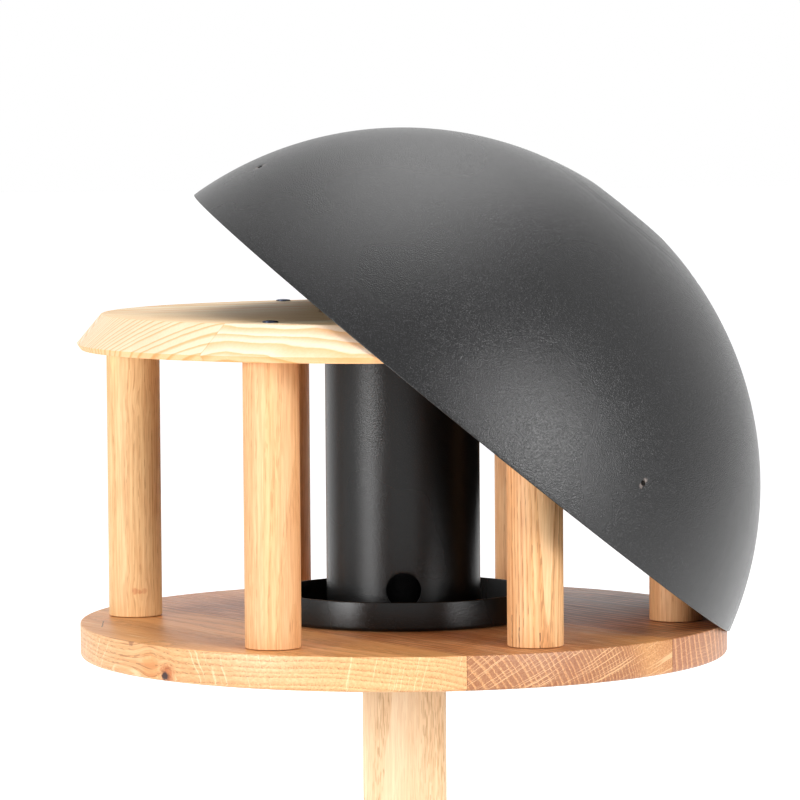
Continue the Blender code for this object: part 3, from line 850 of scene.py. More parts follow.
def turned(profile: Profile, steps: int, closed: bool = False) -> BMesh:
    """A profile turned about Z.

    Args:
        profile: (radius, height) points, down the outer side of the shape.
        steps: faces round the axis.
        closed: joins the last point to the first.

    Returns:
        The shape, closed, with its faces outwards.
    """
    shape = bmesh.new()
    rows = []
    for radius, height in profile:
        on_axis = radius < 1e-7
        angles = [math.tau * i / steps for i in range(1 if on_axis else steps)]
        rows.append([shape.verts.new((radius * math.cos(a), radius * math.sin(a), height)) for a in angles])
    pairs = list(zip(rows, rows[1:]))
    if closed:
        pairs.append((rows[-1], rows[0]))
    for upper, lower in pairs:
        for i in range(steps):
            j = (i + 1) % steps
            corners = (upper[i % len(upper)], lower[i % len(lower)], lower[j % len(lower)],
                       upper[j % len(upper)])
            distinct = list(dict.fromkeys(corners))
            if len(distinct) > 2:
                shape.faces.new(distinct)
    bmesh.ops.recalc_face_normals(shape, faces=shape.faces)
    return shape


def quarter(centre: Point, radius: float, start_deg: float, end_deg: float, steps: int = 4) -> Profile:
    """Points of an arc in a profile.

    Args:
        centre: the arc's centre.
        radius: its radius.
        start_deg: angle of the first point, counted from the outward direction upwards.
        end_deg: angle of the last point.
        steps: number of gaps between the points.

    Returns:
        The points.
    """
    angles = [math.radians(start_deg + (end_deg - start_deg) * i / steps) for i in range(steps + 1)]
    return [(centre[0] + radius * math.cos(a), centre[1] + radius * math.sin(a)) for a in angles]


def rows_between(top: Point, bottom: Point, count: int) -> Profile:
    """Evenly spaced points strictly between two points of a profile."""
    shares = [i / count for i in range(1, count)]
    return [(top[0] + (bottom[0] - top[0]) * s, top[1] + (bottom[1] - top[1]) * s) for s in shares]


def smooth(mesh: bpy.types.Mesh, sharp_deg: float) -> None:
    """Shades a mesh smooth, but for the edges that bend by more than an angle."""
    mesh.shade_smooth()
    mesh.set_sharp_from_angle(angle=math.radians(sharp_deg))


def linked(name: str, data: bpy.types.ID) -> Object:
    """Puts data into the scene as an object at the origin.

    Args:
        name: the object's name.
        data: its mesh, light or camera.

    Returns:
        The object.
    """
    obj = bpy.data.objects.new(name, data)
    bpy.context.scene.collection.objects.link(obj)
    return obj


def to_object(name: str, shape: BMesh, sharp_deg: float = 35.0) -> Object:
    """Turns a shape into a smooth-shaded object, and frees the shape.

    Args:
        name: name of the object and its mesh.
        shape: the shape.
        sharp_deg: edges that bend by more than this stay sharp.

    Returns:
        The object.
    """
    mesh = bpy.data.meshes.new(name)
    shape.to_mesh(mesh)
    shape.free()
    smooth(mesh, sharp_deg)
    return linked(name, mesh)


def settle(obj: Object, sharp_deg: float = 35.0) -> None:
    """Turns an object's modifiers into plain mesh and removes them.

    Args:
        obj: the object.
        sharp_deg: edges that bend by more than this stay sharp.
    """
    evaluated = obj.evaluated_get(bpy.context.evaluated_depsgraph_get())
    mesh = bpy.data.meshes.new_from_object(evaluated)
    obj.modifiers.clear()
    obj.data = mesh
    smooth(mesh, sharp_deg)


def cut(obj: Object, cutter: Object) -> None:
    """Takes a cutter out of an object, and removes the cutter.

    Args:
        obj: the object.
        cutter: what is cut out of it.
    """
    boolean = obj.modifiers.new("cut", "BOOLEAN")
    boolean.operation = "DIFFERENCE"
    boolean.solver = "EXACT"
    boolean.object = cutter
    settle(obj)
    bpy.data.objects.remove(cutter)


@dataclass
class Workshop:
    """What the sub-assemblies share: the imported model, the node groups and the way to hand in a piece."""

    frame: dict
    groups: Groups = field(init=False)

    def __post_init__(self) -> None:
        """Builds the shared node groups."""
        self.groups = {
            "growth": build_growth_group(),
            "knot": build_knot_group(),
            "coat": build_coat_group(),
            "spot": build_spot_group(),
            "crack": build_crack_group(),
        }

    def nodes(self, prefix: str) -> list[str]:
        """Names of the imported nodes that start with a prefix, in order."""
        return sorted(name for name in self.frame["nodes"] if name.startswith(prefix))

    def hand_in(self, obj: Object, material: Material, body: str, slot: str, nodes: list[str]) -> None:
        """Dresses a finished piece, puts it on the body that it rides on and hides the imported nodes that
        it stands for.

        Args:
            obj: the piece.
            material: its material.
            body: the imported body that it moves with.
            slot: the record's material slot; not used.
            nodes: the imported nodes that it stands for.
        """
        obj.data.materials.clear()
        obj.data.materials.append(material)
        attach(obj, body)
        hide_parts(*nodes)
        LOG.info("%s: %d faces, rides on %s", obj.name, len(obj.data.polygons), body)


@dataclass
class StavedDisc:
    """A round board glued from parallel staves.

    The glue lines run along the heading. Each finish and trunk belongs to one stave, from the right
    of the heading to its left.
    """

    name: str
    profile: Profile
    closed: bool
    heading_deg: float
    seams: tuple[float, ...]
    finishes: tuple[WoodFinish, ...]
    trunks: tuple[Trunk, ...]
    steps: int = 256
    glue_line: float = 0.00012

    def staves(self) -> list[Object]:
        """Builds the staves.

        Returns:
            The staves in order, each a closed slice of the disc.
        """
        across = Matrix.Rotation(math.radians(self.heading_deg + 90), 3, "Z") @ Vector((1, 0, 0))
        limits = [None, *self.seams, None]
        made = []
        for number, (low, high) in enumerate(zip(limits, limits[1:]), start=1):
            shape = turned(self.profile, self.steps, self.closed)
            for seam, outward in ((low, -across), (high, across)):
                if seam is not None:
                    self.slice(shape, across * seam - outward * self.glue_line, outward)
            made.append(to_object(f"{self.name}_stave_{number}", shape))
        return made

    def slice(self, shape: BMesh, point: Vector, outward: Vector) -> None:
        """Cuts away what lies beyond a plane, and closes the cut.

        Args:
            shape: the shape to cut.
            point: a point of the plane.
            outward: the side of the plane that goes.
        """
        geometry = shape.verts[:] + shape.edges[:] + shape.faces[:]
        bmesh.ops.bisect_plane(shape, geom=geometry, dist=1e-6, plane_co=point, plane_no=outward,
                               clear_outer=True)
        open_edges = [edge for edge in shape.edges if edge.is_boundary]
        bmesh.ops.holes_fill(shape, edges=open_edges, sides=0)
        bmesh.ops.recalc_face_normals(shape, faces=shape.faces)


@dataclass
class Board:
    """The round oak board that everything stands on."""

    shop: Workshop
    edge_round: float = 0.0006
    lower_round: float = 0.0020
    heading_deg: float = -54.0
    seams: tuple[float, ...] = (-0.0758, 0.0500)
    hole_radius: float = 0.0024
    hole_depth: float = 0.012
    head_room: float = 0.0003
    head_depth: float = 0.0033

    def build(self) -> None:
        """Builds and hands in the staves, countersunk from below for the pillar screws."""
        low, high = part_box("base_board")
        radius = (high.x - low.x) / 2
        upper, lower = self.edge_round, self.lower_round
        profile = [(0.0, high.z), (radius * 0.5, high.z)]
        profile += quarter((radius - upper, high.z - upper), upper, 90, 0)
        profile += quarter((radius - lower, low.z + lower), lower, 0, -90, 6)
        profile += [(radius * 0.5, low.z), (0.0, low.z)]
        disc = StavedDisc(
            "board", profile, False, self.heading_deg, self.seams,
            (BOARD_LEFT, BOARD_MIDDLE, BOARD_RIGHT),
            (Trunk(self.heading_deg, heart_side=-0.142, heart_height=0.01, seed=1.3),
             Trunk(self.heading_deg, heart_side=-0.150, heart_height=0.200, seed=4.1),
             Trunk(self.heading_deg, heart_side=-0.092, heart_height=0.229, seed=7.7)),
        )
        for stave, finish, trunk in zip(disc.staves(), disc.finishes, disc.trunks):
            cut(stave, self.countersinks(low.z))
            material = finish.material(stave.name, trunk, self.shop.groups)
            self.shop.hand_in(stave, material, "stand", finish.slot, ["base_board"])

    def countersinks(self, face: float) -> Object:
        """A cutter with one countersunk hole for each screw.

        Args:
            face: height of the board's lower face.

        Returns:
            The cutter.
        """
        boxes = [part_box(name) for name in self.shop.nodes("board_screw_")]
        low, high = boxes[0]
        head = (high.x - low.x) / 2 + self.head_room
        brim, below = 0.0005, -0.002
        profile = [(0.0, self.hole_depth), (self.hole_radius, self.hole_depth)]
        profile += [(self.hole_radius, self.head_depth), (head, brim), (head, below), (0.0, below)]
        cutter = bmesh.new()
        for low, high in boxes:
            middle = (low + high) / 2
            hole = turned(profile, 32)
            bmesh.ops.translate(hole, vec=(middle.x, middle.y, face), verts=hole.verts)
            mesh = bpy.data.meshes.new("countersink")
            hole.to_mesh(mesh)
            hole.free()
            cutter.from_mesh(mesh)
            bpy.data.meshes.remove(mesh)
        return to_object("countersinks", cutter)


@dataclass
class RoofRing:
    """The round pine ring on the pillars, bevelled above a thin edge."""

    shop: Workshop
    edge_height: float = 0.0032
    lower_chamfer: float = 0.0024
    bevel_width: float = 0.0132
    seat_allowance: float = 0.0003
    tube_clearance: float = 0.003
    ease: float = 0.0004
    heading_deg: float = 30.0
    seams: tuple[float, ...] = (-0.0713, 0.0567)

    def build(self) -> None:
        """Builds and hands in the staves."""
        low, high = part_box("roof_ring")
        tube_low, tube_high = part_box("silo_tube")
        hole = (tube_high.x - tube_low.x) / 2 + self.tube_clearance
        radius = (high.x - low.x) / 2 - self.seat_allowance
        shoulder = radius - self.bevel_width
        chamfer = radius - self.lower_chamfer
        edge = low.z + self.edge_height
        ease = self.ease
        profile = [
            (hole + ease, high.z), (shoulder * 0.6, high.z), (shoulder - ease, high.z),
            (shoulder + ease * 0.6, high.z - ease * 0.8), (radius - ease * 0.6, edge + ease * 0.8),
            (radius, edge), (radius - ease * 0.6, edge - ease), (chamfer + ease, low.z + ease),
            (chamfer, low.z), (shoulder * 0.6, low.z), (hole + ease, low.z), (hole, low.z + ease),
            (hole, high.z - ease),
        ]
        disc = StavedDisc(
            "ring", profile, True, self.heading_deg, self.seams,
            (RING_RIGHT, RING_LEFT, RING_RIGHT),
            (Trunk(self.heading_deg, heart_side=-0.099, heart_height=0.22, seed=2.4),
             Trunk(self.heading_deg, heart_side=-0.128, heart_height=0.213, seed=5.2),
             Trunk(self.heading_deg, heart_side=0.14, heart_height=0.20, seed=8.8)),
        )
        for stave, finish, trunk in zip(disc.staves(), disc.finishes, disc.trunks):
            material = finish.material(stave.name, trunk, self.shop.groups)
            self.shop.hand_in(stave, material, "stand", finish.slot, ["roof_ring"])


@dataclass
class Pillars:
    """The six turned oak pillars. hearts gives how far each stands from the heart of its trunk."""

    shop: Workshop
    ease: float = 0.0006
    steps: int = 72
    rows: int = 12
    hearts: tuple[Point, ...] = (
        (0.050, 0.020), (-0.030, 0.060), (0.045, -0.035), (-0.052, 0.028), (0.024, 0.022), (-0.060, -0.020),
    )
    finishes: dict[str, WoodFinish] = field(default_factory=lambda: {
        "pillar_4": LEFT_PILLAR_OAK,
        "pillar_6": CRACKED_PILLAR_OAK,
    })

    def build(self) -> None:
        """Builds and hands in each pillar, sawn from its own place in a trunk."""
        for number, (name, heart) in enumerate(zip(self.shop.nodes("pillar_"), self.hearts)):
            low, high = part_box(name)
            middle = (low + high) / 2
            radius = (high.x - low.x) / 2
            ease = self.ease
            profile = [(0.0, high.z), (radius - ease, high.z)]
            profile += quarter((radius - ease, high.z - ease), ease, 75, 0, 3)
            profile += rows_between((radius, high.z - ease), (radius, low.z + ease), self.rows)
            profile += quarter((radius - ease, low.z + ease), ease, 0, -75, 3)
            profile += [(radius - ease, low.z), (0.0, low.z)]
            shape = turned(profile, self.steps)
            bmesh.ops.translate(shape, vec=(middle.x, middle.y, 0.0), verts=shape.verts)
            pillar = to_object(f"turned_{name}", shape)
            side, depth = heart
            trunk = Trunk(upright=True, heart_side=middle.y + side, heart_height=-middle.x + depth,
                          seed=1.7 * number)
            finish = self.finishes.get(name, PILLAR_OAK)
            material = finish.material(name, trunk, self.shop.groups)
            self.shop.hand_in(pillar, material, "stand", finish.slot, [name])


@dataclass
class Post:
    """The square oak post, with rounded arrises and eased ends."""

    shop: Workshop
    arris: float = 0.0025
    end_ease: float = 0.0004

    def build(self) -> None:
        """Builds and hands in the post."""
        low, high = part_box("post")
        shape = bmesh.new()
        size = Matrix.Diagonal((*(high - low), 1.0))
        bmesh.ops.create_cube(shape, size=1.0, matrix=Matrix.Translation((low + high) / 2) @ size)
        upright = [e for e in shape.edges if abs((e.verts[0].co - e.verts[1].co).z) > 0.1]
        bmesh.ops.bevel(shape, geom=upright, offset=self.arris, segments=6, profile=0.5, affect="EDGES")
        ends = [e for e in shape.edges if abs((e.verts[0].co - e.verts[1].co).z) < 1e-6]
        bmesh.ops.bevel(shape, geom=ends, offset=self.end_ease, segments=1, profile=0.5, affect="EDGES")
        post = to_object("post_timber", shape)
        trunk = Trunk(upright=True, heart_side=0.085, heart_height=-0.030, seed=3.3)
        material = POST_OAK.material("post", trunk, self.shop.groups)
        self.shop.hand_in(post, material, "stand", POST_OAK.slot, ["post"])


@dataclass
class SeedSilo:
    """The seed tube with its feed holes, and the tray that it stands in."""

    shop: Workshop
    wall: float = 0.0015
    tray_sheet: float = 0.0012
    tray_corner: float = 0.0020
    hole_radius: float = 0.0094
    hole_lip: float = 0.0078
    hole_turns_deg: tuple[float, ...] = (-90.0, 30.0, 150.0)
    ease: float = 0.0003
    rows: int = 40

    def build(self) -> None:
        """Builds and hands in the tube and the tray."""
        coat = BLACK_COAT.material(self.shop.groups)
        self.shop.hand_in(self.tube(), coat, "silo", BLACK_COAT.slot, ["silo_tube"])
        self.shop.hand_in(self.tray(), coat, "stand", BLACK_COAT.slot, ["seed_tray"])

    def tube(self) -> Object:
        """The tube, with eased ends and feed holes.

        Returns:
            The tube.
        """
        low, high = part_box("silo_tube")
        outer = (high.x - low.x) / 2
        inner = outer - self.wall
        ease = self.ease
        top, foot = high.z - ease, low.z + ease
        profile = quarter((outer - ease, top), ease, 90, 0, 3)
        profile += rows_between((outer, top), (outer, foot), self.rows)
        profile += quarter((outer - ease, foot), ease, 0, -90, 3)
        profile += quarter((inner + ease, foot), ease, 270, 180, 3)
        profile += rows_between((inner, foot), (inner, top), self.rows)
        profile += quarter((inner + ease, top), ease, 180, 90, 3)
        tube = to_object("silo_shell", turned(profile, 128, closed=True))
        bits = bmesh.new()
        level = low.z + self.hole_lip + self.hole_radius
        sideways = Matrix.Translation((outer, 0.0, level)) @ Matrix.Rotation(math.pi / 2, 4, "Y")
        for turn_deg in self.hole_turns_deg:
            turn = Matrix.Rotation(math.radians(turn_deg), 4, "Z")
            bmesh.ops.create_cone(bits, cap_ends=True, segments=64, radius1=self.hole_radius,
                                  radius2=self.hole_radius, depth=outer, matrix=turn @ sideways)
        cut(tube, to_object("feed_hole_bits", bits))
        bevel = tube.modifiers.new("eased_holes", "BEVEL")
        bevel.width = 2 * self.ease
        bevel.segments = 2
        bevel.limit_method = "ANGLE"
        bevel.angle_limit = math.radians(60)
        settle(tube, 50.0)
        return tube

    def tray(self) -> Object:
        """The pressed tray, with a rounded corner at its foot.

        Returns:
            The tray.
        """
        low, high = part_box("seed_tray")
        sheet, corner = self.tray_sheet, self.tray_corner
        outer = (high.x - low.x) / 2
        inner = outer - sheet
        floor = low.z + sheet
        inside = corner - sheet
        lip = sheet / 2
        profile = [(0.0, floor), (inner * 0.6, floor)]
        profile += quarter((inner - inside, floor + inside), inside, -90, 0, 4)
        profile += quarter((outer - lip, high.z - lip), lip, 180, 0, 8)
        profile += quarter((outer - corner, low.z + corner), corner, 0, -90, 5)
        profile += [(inner * 0.6, low.z), (0.0, low.z)]
        return to_object("tray_pressing", turned(profile, 160))


@dataclass
class Roof:
    """The spun steel dome, tilted about the centre of its sphere."""

    shop: Workshop
    sheet: float = 0.0008
    flat_radius: float = 0.023
    facet_allowance: float = 0.0002
    crease_radii: tuple[float, ...] = (0.0500, 0.0545)
    crease_depth: float = 0.00012
    crease_width: float = 0.0014
    crease_row: float = 0.0005
    vent_radius: float = 0.0015
    vent_above_rim: float = 0.035
    vent_turns_deg: tuple[float, ...] = (-61.0, -166.5, 66.0)
    dent_depth: float = 0.00045
    dent_width: float = 0.0026
    dent_reach: float = 0.008
    chip_place: Point = (0.0019, -0.0006)
    steps: int = 320
    rows_outside: int = 96
    rows_inside: int = 48

    def build(self) -> None:
        """Builds and hands in the dome with its vents."""
        placing = self.placing()
        radius, rim = self.reach(placing)
        vents = self.vent_places(radius, rim)
        shape = turned(self.profile(radius, rim), self.steps)
        self.dent(shape, vents)
        dome = to_object("dome_shell", shape)
        cut(dome, self.punches(vents))
        dome.data.transform(placing)
        chip = Vector((*self.chip_place, 0.0))
        chips = tuple(placing @ vent @ (chip * side) for vent in vents for side in (-1.0, 1.0))
        material = ROOF_COAT.material(self.shop.groups, placing.inverted(), chips)
        self.shop.hand_in(dome, material, "roof", ROOF_COAT.slot, ["dome_roof"])

    def placing(self) -> Matrix:
        """Reads the place and tilt of the dome from its joint, whose lower limit closes the roof.

        Returns:
            The turn and move from the dome's own frame to the object's.
        """
        joint = next(j for j in self.shop.frame["joints"] if j["name"] == "roof_swivel")
        axis = Vector(joint["axis"])
        tilt = Matrix.Rotation(-math.radians(joint["range_deg"][0]), 4, axis)
        heading = Matrix.Rotation(math.atan2(-axis.x, axis.y), 4, "Z")
        return Matrix.Translation(joint["pos_m"]) @ tilt @ heading

    def reach(self, placing: Matrix) -> Point:
        """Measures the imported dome.

        Args:
            placing: the dome's place and tilt.

        Returns:
            Radius of its sphere, and height of its rim above the sphere's centre.
        """
        back = placing.inverted()
        corners = [back @ v.co for v in self.shop.frame["nodes"]["dome_roof"].data.vertices]
        radius = max(corner.length for corner in corners)
        rim = min(c.z for c in corners if c.length > radius - self.sheet / 2)
        return radius, rim

    def dip(self, radius: float) -> float:
        """Depth of the spinning creases at a distance from the pole."""
        aways = [(radius - crease) / self.crease_width for crease in self.crease_radii]
        return sum(self.crease_depth * math.exp(-away * away) for away in aways)

    def profile(self, radius: float, rim: float) -> Profile:
        """Outline of the sheet, from the pole down the outside, round the rim and back inside.

        Args:
            radius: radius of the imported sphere.
            rim: height of the rim above the sphere's centre.

        Returns:
            The outline.
        """
        outer = radius - self.facet_allowance
        inner = outer - self.sheet
        edge = self.sheet / 2
        pole_angle = math.asin(self.flat_radius / outer)
        rim_angle = math.acos(rim / outer) - edge / outer
        sweep = rim_angle - pole_angle
        flat = outer * math.cos(pole_angle)
        profile = [(0.0, flat), (self.flat_radius * 0.5, flat), (self.flat_radius * 0.9, flat)]
        angles = [pole_angle + sweep * i / self.rows_outside for i in range(self.rows_outside + 1)]
        for crease in self.crease_radii:
            middle = math.asin(crease / outer)
            angles += [middle + row * self.crease_row / outer for row in range(-6, 7)]
        for angle in sorted(angles)[1:]:
            skin = outer - self.dip(outer * math.sin(angle))
            profile.append((skin * math.sin(angle), skin * math.cos(angle)))
        middle_radius = outer - edge
        centre = (middle_radius * math.sin(rim_angle), middle_radius * math.cos(rim_angle))
        lean = 90.0 - math.degrees(rim_angle)
        profile += quarter(centre, edge, lean, lean - 180.0, 8)[1:-1]
        for i in range(self.rows_inside + 1):
            angle = rim_angle - sweep * i / self.rows_inside
            profile.append((inner * math.sin(angle), inner * math.cos(angle)))
        ceiling = inner * math.cos(pole_angle)
        return profile + [(self.flat_radius * 0.5, ceiling), (0.0, ceiling)]

    def vent_places(self, radius: float, rim: float) -> list[Matrix]:
        """Places the vents in the dome's own frame.

        Args:
            radius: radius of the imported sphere.
            rim: height of the rim above the sphere's centre.

        Returns:
            Place and turn of each vent, with Z outwards.
        """
        outer = radius - self.facet_allowance
        angle = math.acos((rim + self.vent_above_rim) / outer)
        lean = Matrix.Rotation(angle, 4, "Y") @ Matrix.Translation((0, 0, outer))
        return [Matrix.Rotation(math.radians(turn), 4, "Z") @ lean for turn in self.vent_turns_deg]

    def dent(self, shape: BMesh, vents: list[Matrix]) -> None:
        """Refines the sheet round each vent and presses it in slightly.

        Args:
            shape: the dome.
            vents: the places of the vents.
        """
        refined = self.dent_reach + 0.001
        for centre in (vent.to_translation() for vent in vents):
            near = [f for f in shape.faces if (f.calc_center_median() - centre).length < refined]
            edges = list({edge for face in near for edge in face.edges})
            bmesh.ops.subdivide_edges(shape, edges=edges, cuts=3, use_grid_fill=True)
            for vert in shape.verts:
                away = (vert.co - centre).length
                if away < self.dent_reach:
                    depth = self.dent_depth * math.exp(-((away / self.dent_width) ** 2))
                    vert.co -= vert.co.normalized() * depth

    def punches(self, vents: list[Matrix]) -> Object:
        """A cutter with one round punch for each vent.

        Args:
            vents: the places of the vents.

        Returns:
            The cutter.
        """
        cutter = bmesh.new()
        for vent in vents:
            bmesh.ops.create_cone(cutter, cap_ends=True, segments=24, radius1=self.vent_radius,
                                  radius2=self.vent_radius, depth=0.006, matrix=vent)
        return to_object("vent_punches", cutter)


class HeadForm(Enum):
    """Form of a screw's head."""

    PAN = "pan"
    COUNTERSUNK = "countersunk"


@dataclass
class ScrewSet:
    """A set of equal wood screws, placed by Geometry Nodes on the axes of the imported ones.

    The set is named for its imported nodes, in the plural. Counts are corners round an axis, and a
    share is a part of the size that it goes with.
    """

    shop: Workshop
    name: str
    form: HeadForm
    finish: SteelFinish
    head_height: float
    shank_radius: float
    tip_length: float
    upwards: bool = False
    thread_pitch: float = 0.0022
    core_share: float = 0.72
    threaded_share: float = 0.6
    head_count: int = 40
    shank_count: int = 24

    def build(self) -> None:
        """Builds and hands in the set as one plain mesh."""
        nodes = self.shop.nodes(self.name.removesuffix("s") + "_")
        boxes = [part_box(node) for node in nodes]
        material = self.finish.material(self.shop.groups)
        proud = self.head_height if self.form is HeadForm.PAN else 0.0
        low, high = boxes[0]
        sizes = {
            "Head radius": (high.x - low.x) / 2,
            "Head height": self.head_height,
            "Shank radius": self.shank_radius,
            "Length": high.z - low.z - proud,
            "Tip length": self.tip_length,
            "Thread pitch": self.thread_pitch,
            "Material": material,
        }
        places = bmesh.new()
        for low, high in boxes:
            seat = low.z if self.upwards else high.z - proud
            places.verts.new(((low.x + high.x) / 2, (low.y + high.y) / 2, seat))
        screws = to_object(self.name, places)
        modifier = screws.modifiers.new("screws", "NODES")
        modifier.node_group = self.tree()
        for item in modifier.node_group.interface.items_tree:
            if item.name in sizes:
                modifier[item.identifier] = sizes[item.name]
        settle(screws, 40.0)
        self.shop.hand_in(screws, material, "stand", self.finish.slot, nodes)

    def tree(self) -> NodeTree:
        """Builds the tree that makes one screw, points it the right way and copies it to every place.

        Returns:
            The tree.
        """
        sketch, (places, head_radius, head_height, shank, length, tip_length, pitch, material) = node_group(
            self.name,
            ("Places", "Head radius", "Head height", "Shank radius", "Length", "Tip length",
             "Thread pitch", "Material"),
            ("Screws",), "GeometryNodeTree",
        )
        if self.form is HeadForm.PAN:
            head = self.pan_head(sketch, head_radius, head_height)
        else:
            head = self.countersunk_head(sketch, head_radius, head_height, shank)
        head = self.recessed(sketch, head, head_radius, head_height)
        core = sketch.times(shank, self.core_share)
        body = sketch.math("SUBTRACT", length, tip_length)
        tip = sketch.moved("GeometryNodeMeshCone", {
            "Vertices": self.shank_count, "Radius Top": core, "Radius Bottom": 0.0, "Depth": tip_length,
        }, sketch.times(length, -1.0))
        rod = sketch.moved("GeometryNodeMeshCylinder", {
            "Vertices": self.shank_count, "Radius": core, "Depth": body,
        }, sketch.times(body, -0.5))
        threaded = sketch.times(body, self.threaded_share)
        helix = sketch.out("GeometryNodeCurveSpiral", {
            "Resolution": 16, "Rotations": sketch.ratio(threaded, pitch), "Start Radius": core,
            "End Radius": core, "Height": threaded,
        })
        crest = sketch.math("SUBTRACT", shank, core)
        ridge = sketch.out("GeometryNodeCurvePrimitiveCircle", {"Resolution": 3, "Radius": crest})
        thread = sketch.moved("GeometryNodeCurveToMesh", {
            "Curve": helix, "Profile Curve": ridge, "Fill Caps": True,
        }, sketch.times(body, -1.0))
        whole = sketch.out("GeometryNodeJoinGeometry", {0: [head, tip, rod, thread]})
        turn = (math.pi if self.upwards else 0.0, 0.0, 0.0)
        pointed = sketch.out("GeometryNodeTransform", {"Geometry": whole, "Rotation": turn})
        copies = sketch.out("GeometryNodeInstanceOnPoints", {"Points": places, "Instance": pointed})
        plain = sketch.out("GeometryNodeRealizeInstances", {0: copies})
        dressed = sketch.out("GeometryNodeSetMaterial", {"Geometry": plain, "Material": material})
        sketch.add("NodeGroupOutput", {0: dressed})
        return sketch.tree

    def pan_head(self, sketch: Sketch, radius: Socket, height: Socket) -> Socket:
        """A low dome with an upright brim: a flattened ball met with a disc.

        Args:
            sketch: the tree's sketch.
            radius: radius of the brim.
            height: height of the head.

        Returns:
            The head, standing on z = 0.
        """
        ball_radius = sketch.times(radius, 1.14)
        ball = sketch.out("GeometryNodeMeshUVSphere", {
            "Segments": self.head_count, "Rings": self.head_count // 2, "Radius": ball_radius,
        })
        flattened = sketch.xyz(1.0, 1.0, sketch.ratio(height, ball_radius))
        ball = sketch.out("GeometryNodeTransform", {"Geometry": ball, "Scale": flattened})
        disc = sketch.moved("GeometryNodeMeshCylinder", {
            "Vertices": self.head_count, "Radius": radius, "Depth": height,
        }, sketch.times(height, 0.5))
        return sketch.out("GeometryNodeMeshBoolean", {1: [disc, ball]}, operation="INTERSECT")

    def countersunk_head(self, sketch: Sketch, radius: Socket, height: Socket, shank: Socket) -> Socket:
        """A cone with its flat face up at z = 0.

        Args:
            sketch: the tree's sketch.
            radius: radius of the face.
            height: height of the cone.
            shank: radius of its lower end.

        Returns:
            The head.
        """
        return sketch.moved("GeometryNodeMeshCone", {
            "Vertices": self.head_count, "Radius Top": radius, "Radius Bottom": shank, "Depth": height,
        }, sketch.times(height, -1.0))

    def recessed(self, sketch: Sketch, head: Socket, radius: Socket, height: Socket) -> Socket:
        """Cuts a cross recess into the head.

        Args:
            sketch: the tree's sketch.
            head: the head.
            radius: its radius.
            height: its height.

        Returns:
            The head with the recess.
        """
        face = height if self.form is HeadForm.PAN else 0.0
        long_side, short_side = sketch.times(radius, 1.05), sketch.times(radius, 0.26)
        depth = sketch.times(height, 1.1)
        bars = [
            sketch.moved("GeometryNodeMeshCube", {"Size": sketch.xyz(width, breadth, depth)}, face)
            for width, breadth in ((long_side, short_side), (short_side, long_side))
        ]
        return sketch.out("GeometryNodeMeshBoolean", {0: head, 1: bars}, operation="DIFFERENCE")


@dataclass(frozen=True)
class Viewpoint:
    """The photograph's camera. Its place is counted from the middle of the board's top face."""

    lens_mm: float = 195.82
    sensor_mm: float = 36.0
    place: Place = (-0.0041, -2.3483, 0.2705)
    yaw_deg: float = 0.071
    pitch_deg: float = -3.712
    roll_deg: float = -0.407

    def matrix(self, origin: Vector) -> Matrix:
        """World matrix of the camera.

        Args:
            origin: middle of the board's top face.

        Returns:
            The matrix.
        """
        yaw, pitch, roll = (math.radians(a) for a in (self.yaw_deg, self.pitch_deg, self.roll_deg))
        ahead = Vector((math.sin(yaw) * math.cos(pitch), math.cos(yaw) * math.cos(pitch), math.sin(pitch)))
        level = Vector((math.cos(yaw), -math.sin(yaw), 0.0))
        upward = level.cross(ahead)
        right = level * math.cos(roll) + upward * math.sin(roll)
        above = upward * math.cos(roll) - level * math.sin(roll)
        turn = Matrix((right, above, -ahead)).transposed().to_4x4()
        return Matrix.Translation(origin + Vector(self.place)) @ turn


@dataclass(frozen=True)
class Softbox:
    """One soft studio light."""

    name: str
    place: Place
    size: float
    power: float
    height: float | None = None
    roll_deg: float = 0.0


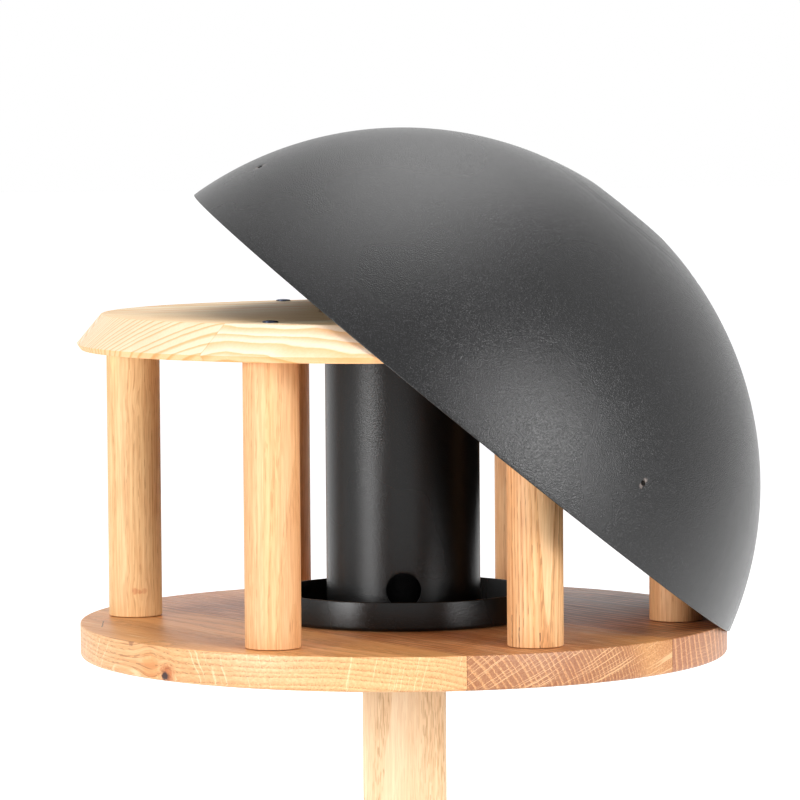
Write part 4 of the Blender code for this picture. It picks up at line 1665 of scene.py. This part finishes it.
@dataclass
class Studio:
    """Camera, lights, floor and surroundings."""

    view: Viewpoint = Viewpoint()
    lights: tuple[Softbox, ...] = (
        Softbox("left_light", (-1.85, -1.55, 0.65), 0.9, 42.0),
        Softbox("top_light", (0.0, 0.2, 2.7), 1.6, 24.0),
        Softbox("back_light", (0.3, 1.5, 2.4), 1.3, 8.0),
        Softbox("right_light", (1.61, -1.67, 1.06), 0.8, 50.0, height=1.6, roll_deg=28.0),
    )
    surround: float = 0.26
    floor_size: float = 60.0
    floor_colour: Colour = (0.80, 0.80, 0.80, 1.0)
    floor_glow: float = 0.85

    def build(self) -> None:
        """Builds the studio round the feeder."""
        _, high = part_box("base_board")
        middle = Vector((0.0, 0.0, high.z))
        self.camera(middle)
        for light in self.lights:
            self.lamp(light, middle)
        self.floor()
        self.world()
        bpy.context.scene.view_settings.view_transform = "Standard"

    def camera(self, middle: Vector) -> None:
        """Places the camera.

        Args:
            middle: middle of the board's top face.
        """
        data = bpy.data.cameras.new("photo_camera")
        data.lens = self.view.lens_mm
        data.sensor_width = self.view.sensor_mm
        data.clip_start = 0.1
        data.clip_end = 200.0
        camera = linked("photo_camera", data)
        camera.matrix_world = self.view.matrix(middle)
        bpy.context.scene.camera = camera

    def lamp(self, light: Softbox, target: Vector) -> None:
        """Places a softbox that faces the feeder.

        Args:
            light: the softbox.
            target: what it faces.
        """
        data = bpy.data.lights.new(light.name, "AREA")
        data.shape = "RECTANGLE"
        data.size = light.size
        data.size_y = light.height or light.size
        data.energy = light.power
        lamp = linked(light.name, data)
        lamp.location = light.place
        lamp.rotation_mode = "QUATERNION"
        facing = (target - Vector(light.place)).to_track_quat("-Z", "Y")
        lamp.rotation_quaternion = facing @ Quaternion((0.0, 0.0, 1.0), math.radians(light.roll_deg))

    def seen_share(self, sketch: Sketch) -> Socket:
        """One for rays from the camera, from a glossy surface or through glass, and otherwise zero.

        Args:
            sketch: the sketch of the floor or the world.

        Returns:
            The share.
        """
        path = sketch.add("ShaderNodeLightPath").outputs
        seen = sketch.math("MAXIMUM", path["Is Camera Ray"], path["Is Glossy Ray"])
        return sketch.math("MAXIMUM", seen, path["Is Transmission Ray"])

    def floor(self) -> None:
        """A plain pale floor that fades into the white surroundings and keeps the shadow."""
        shape = bmesh.new()
        bmesh.ops.create_grid(shape, x_segments=1, y_segments=1, size=self.floor_size / 2)
        floor = to_object("floor", shape)
        material, sketch, shader = new_material("pale_floor")
        sketch.feed(shader, {
            "Base Color": self.floor_colour,
            "Roughness": 0.9,
            "Emission Color": WHITE,
            "Emission Strength": sketch.times(self.seen_share(sketch), self.floor_glow),
        })
        floor.data.materials.append(material)

    def world(self) -> None:
        """White surroundings, at full strength only where they are seen."""
        world = bpy.data.worlds.new("white_studio")
        world.use_nodes = True
        bpy.context.scene.world = world
        sketch = Sketch(world.node_tree)
        strength = sketch.span(self.seen_share(sketch), 0.0, 1.0, self.surround, 1.0)
        sketch.feed(world.node_tree.nodes["Background"], {"Color": WHITE, "Strength": strength})


def main() -> None:
    """Builds the feeder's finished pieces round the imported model."""
    logging.basicConfig(level=logging.INFO, format="%(name)s: %(message)s")
    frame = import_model()
    shop = Workshop(frame)
    pan, countersunk = HeadForm.PAN, HeadForm.COUNTERSUNK
    assemblies = [
        Post(shop),
        Board(shop),
        Pillars(shop),
        RoofRing(shop),
        SeedSilo(shop),
        Roof(shop),
        ScrewSet(shop, "ring_screws", pan, BLACK_STEEL, head_height=0.0010, shank_radius=0.0021,
                 tip_length=0.006),
        ScrewSet(shop, "tray_screws", pan, BLACK_STEEL, head_height=0.0020, shank_radius=0.0017,
                 tip_length=0.004),
        ScrewSet(shop, "board_screws", countersunk, ZINC_STEEL, head_height=0.0030, shank_radius=0.0021,
                 tip_length=0.006, upwards=True),
        ScrewSet(shop, "post_screws", countersunk, ZINC_STEEL, head_height=0.0034, shank_radius=0.0025,
                 tip_length=0.007),
    ]
    for assembly in assemblies:
        assembly.build()
    Studio().build()


if __name__ == "__main__":
    main()
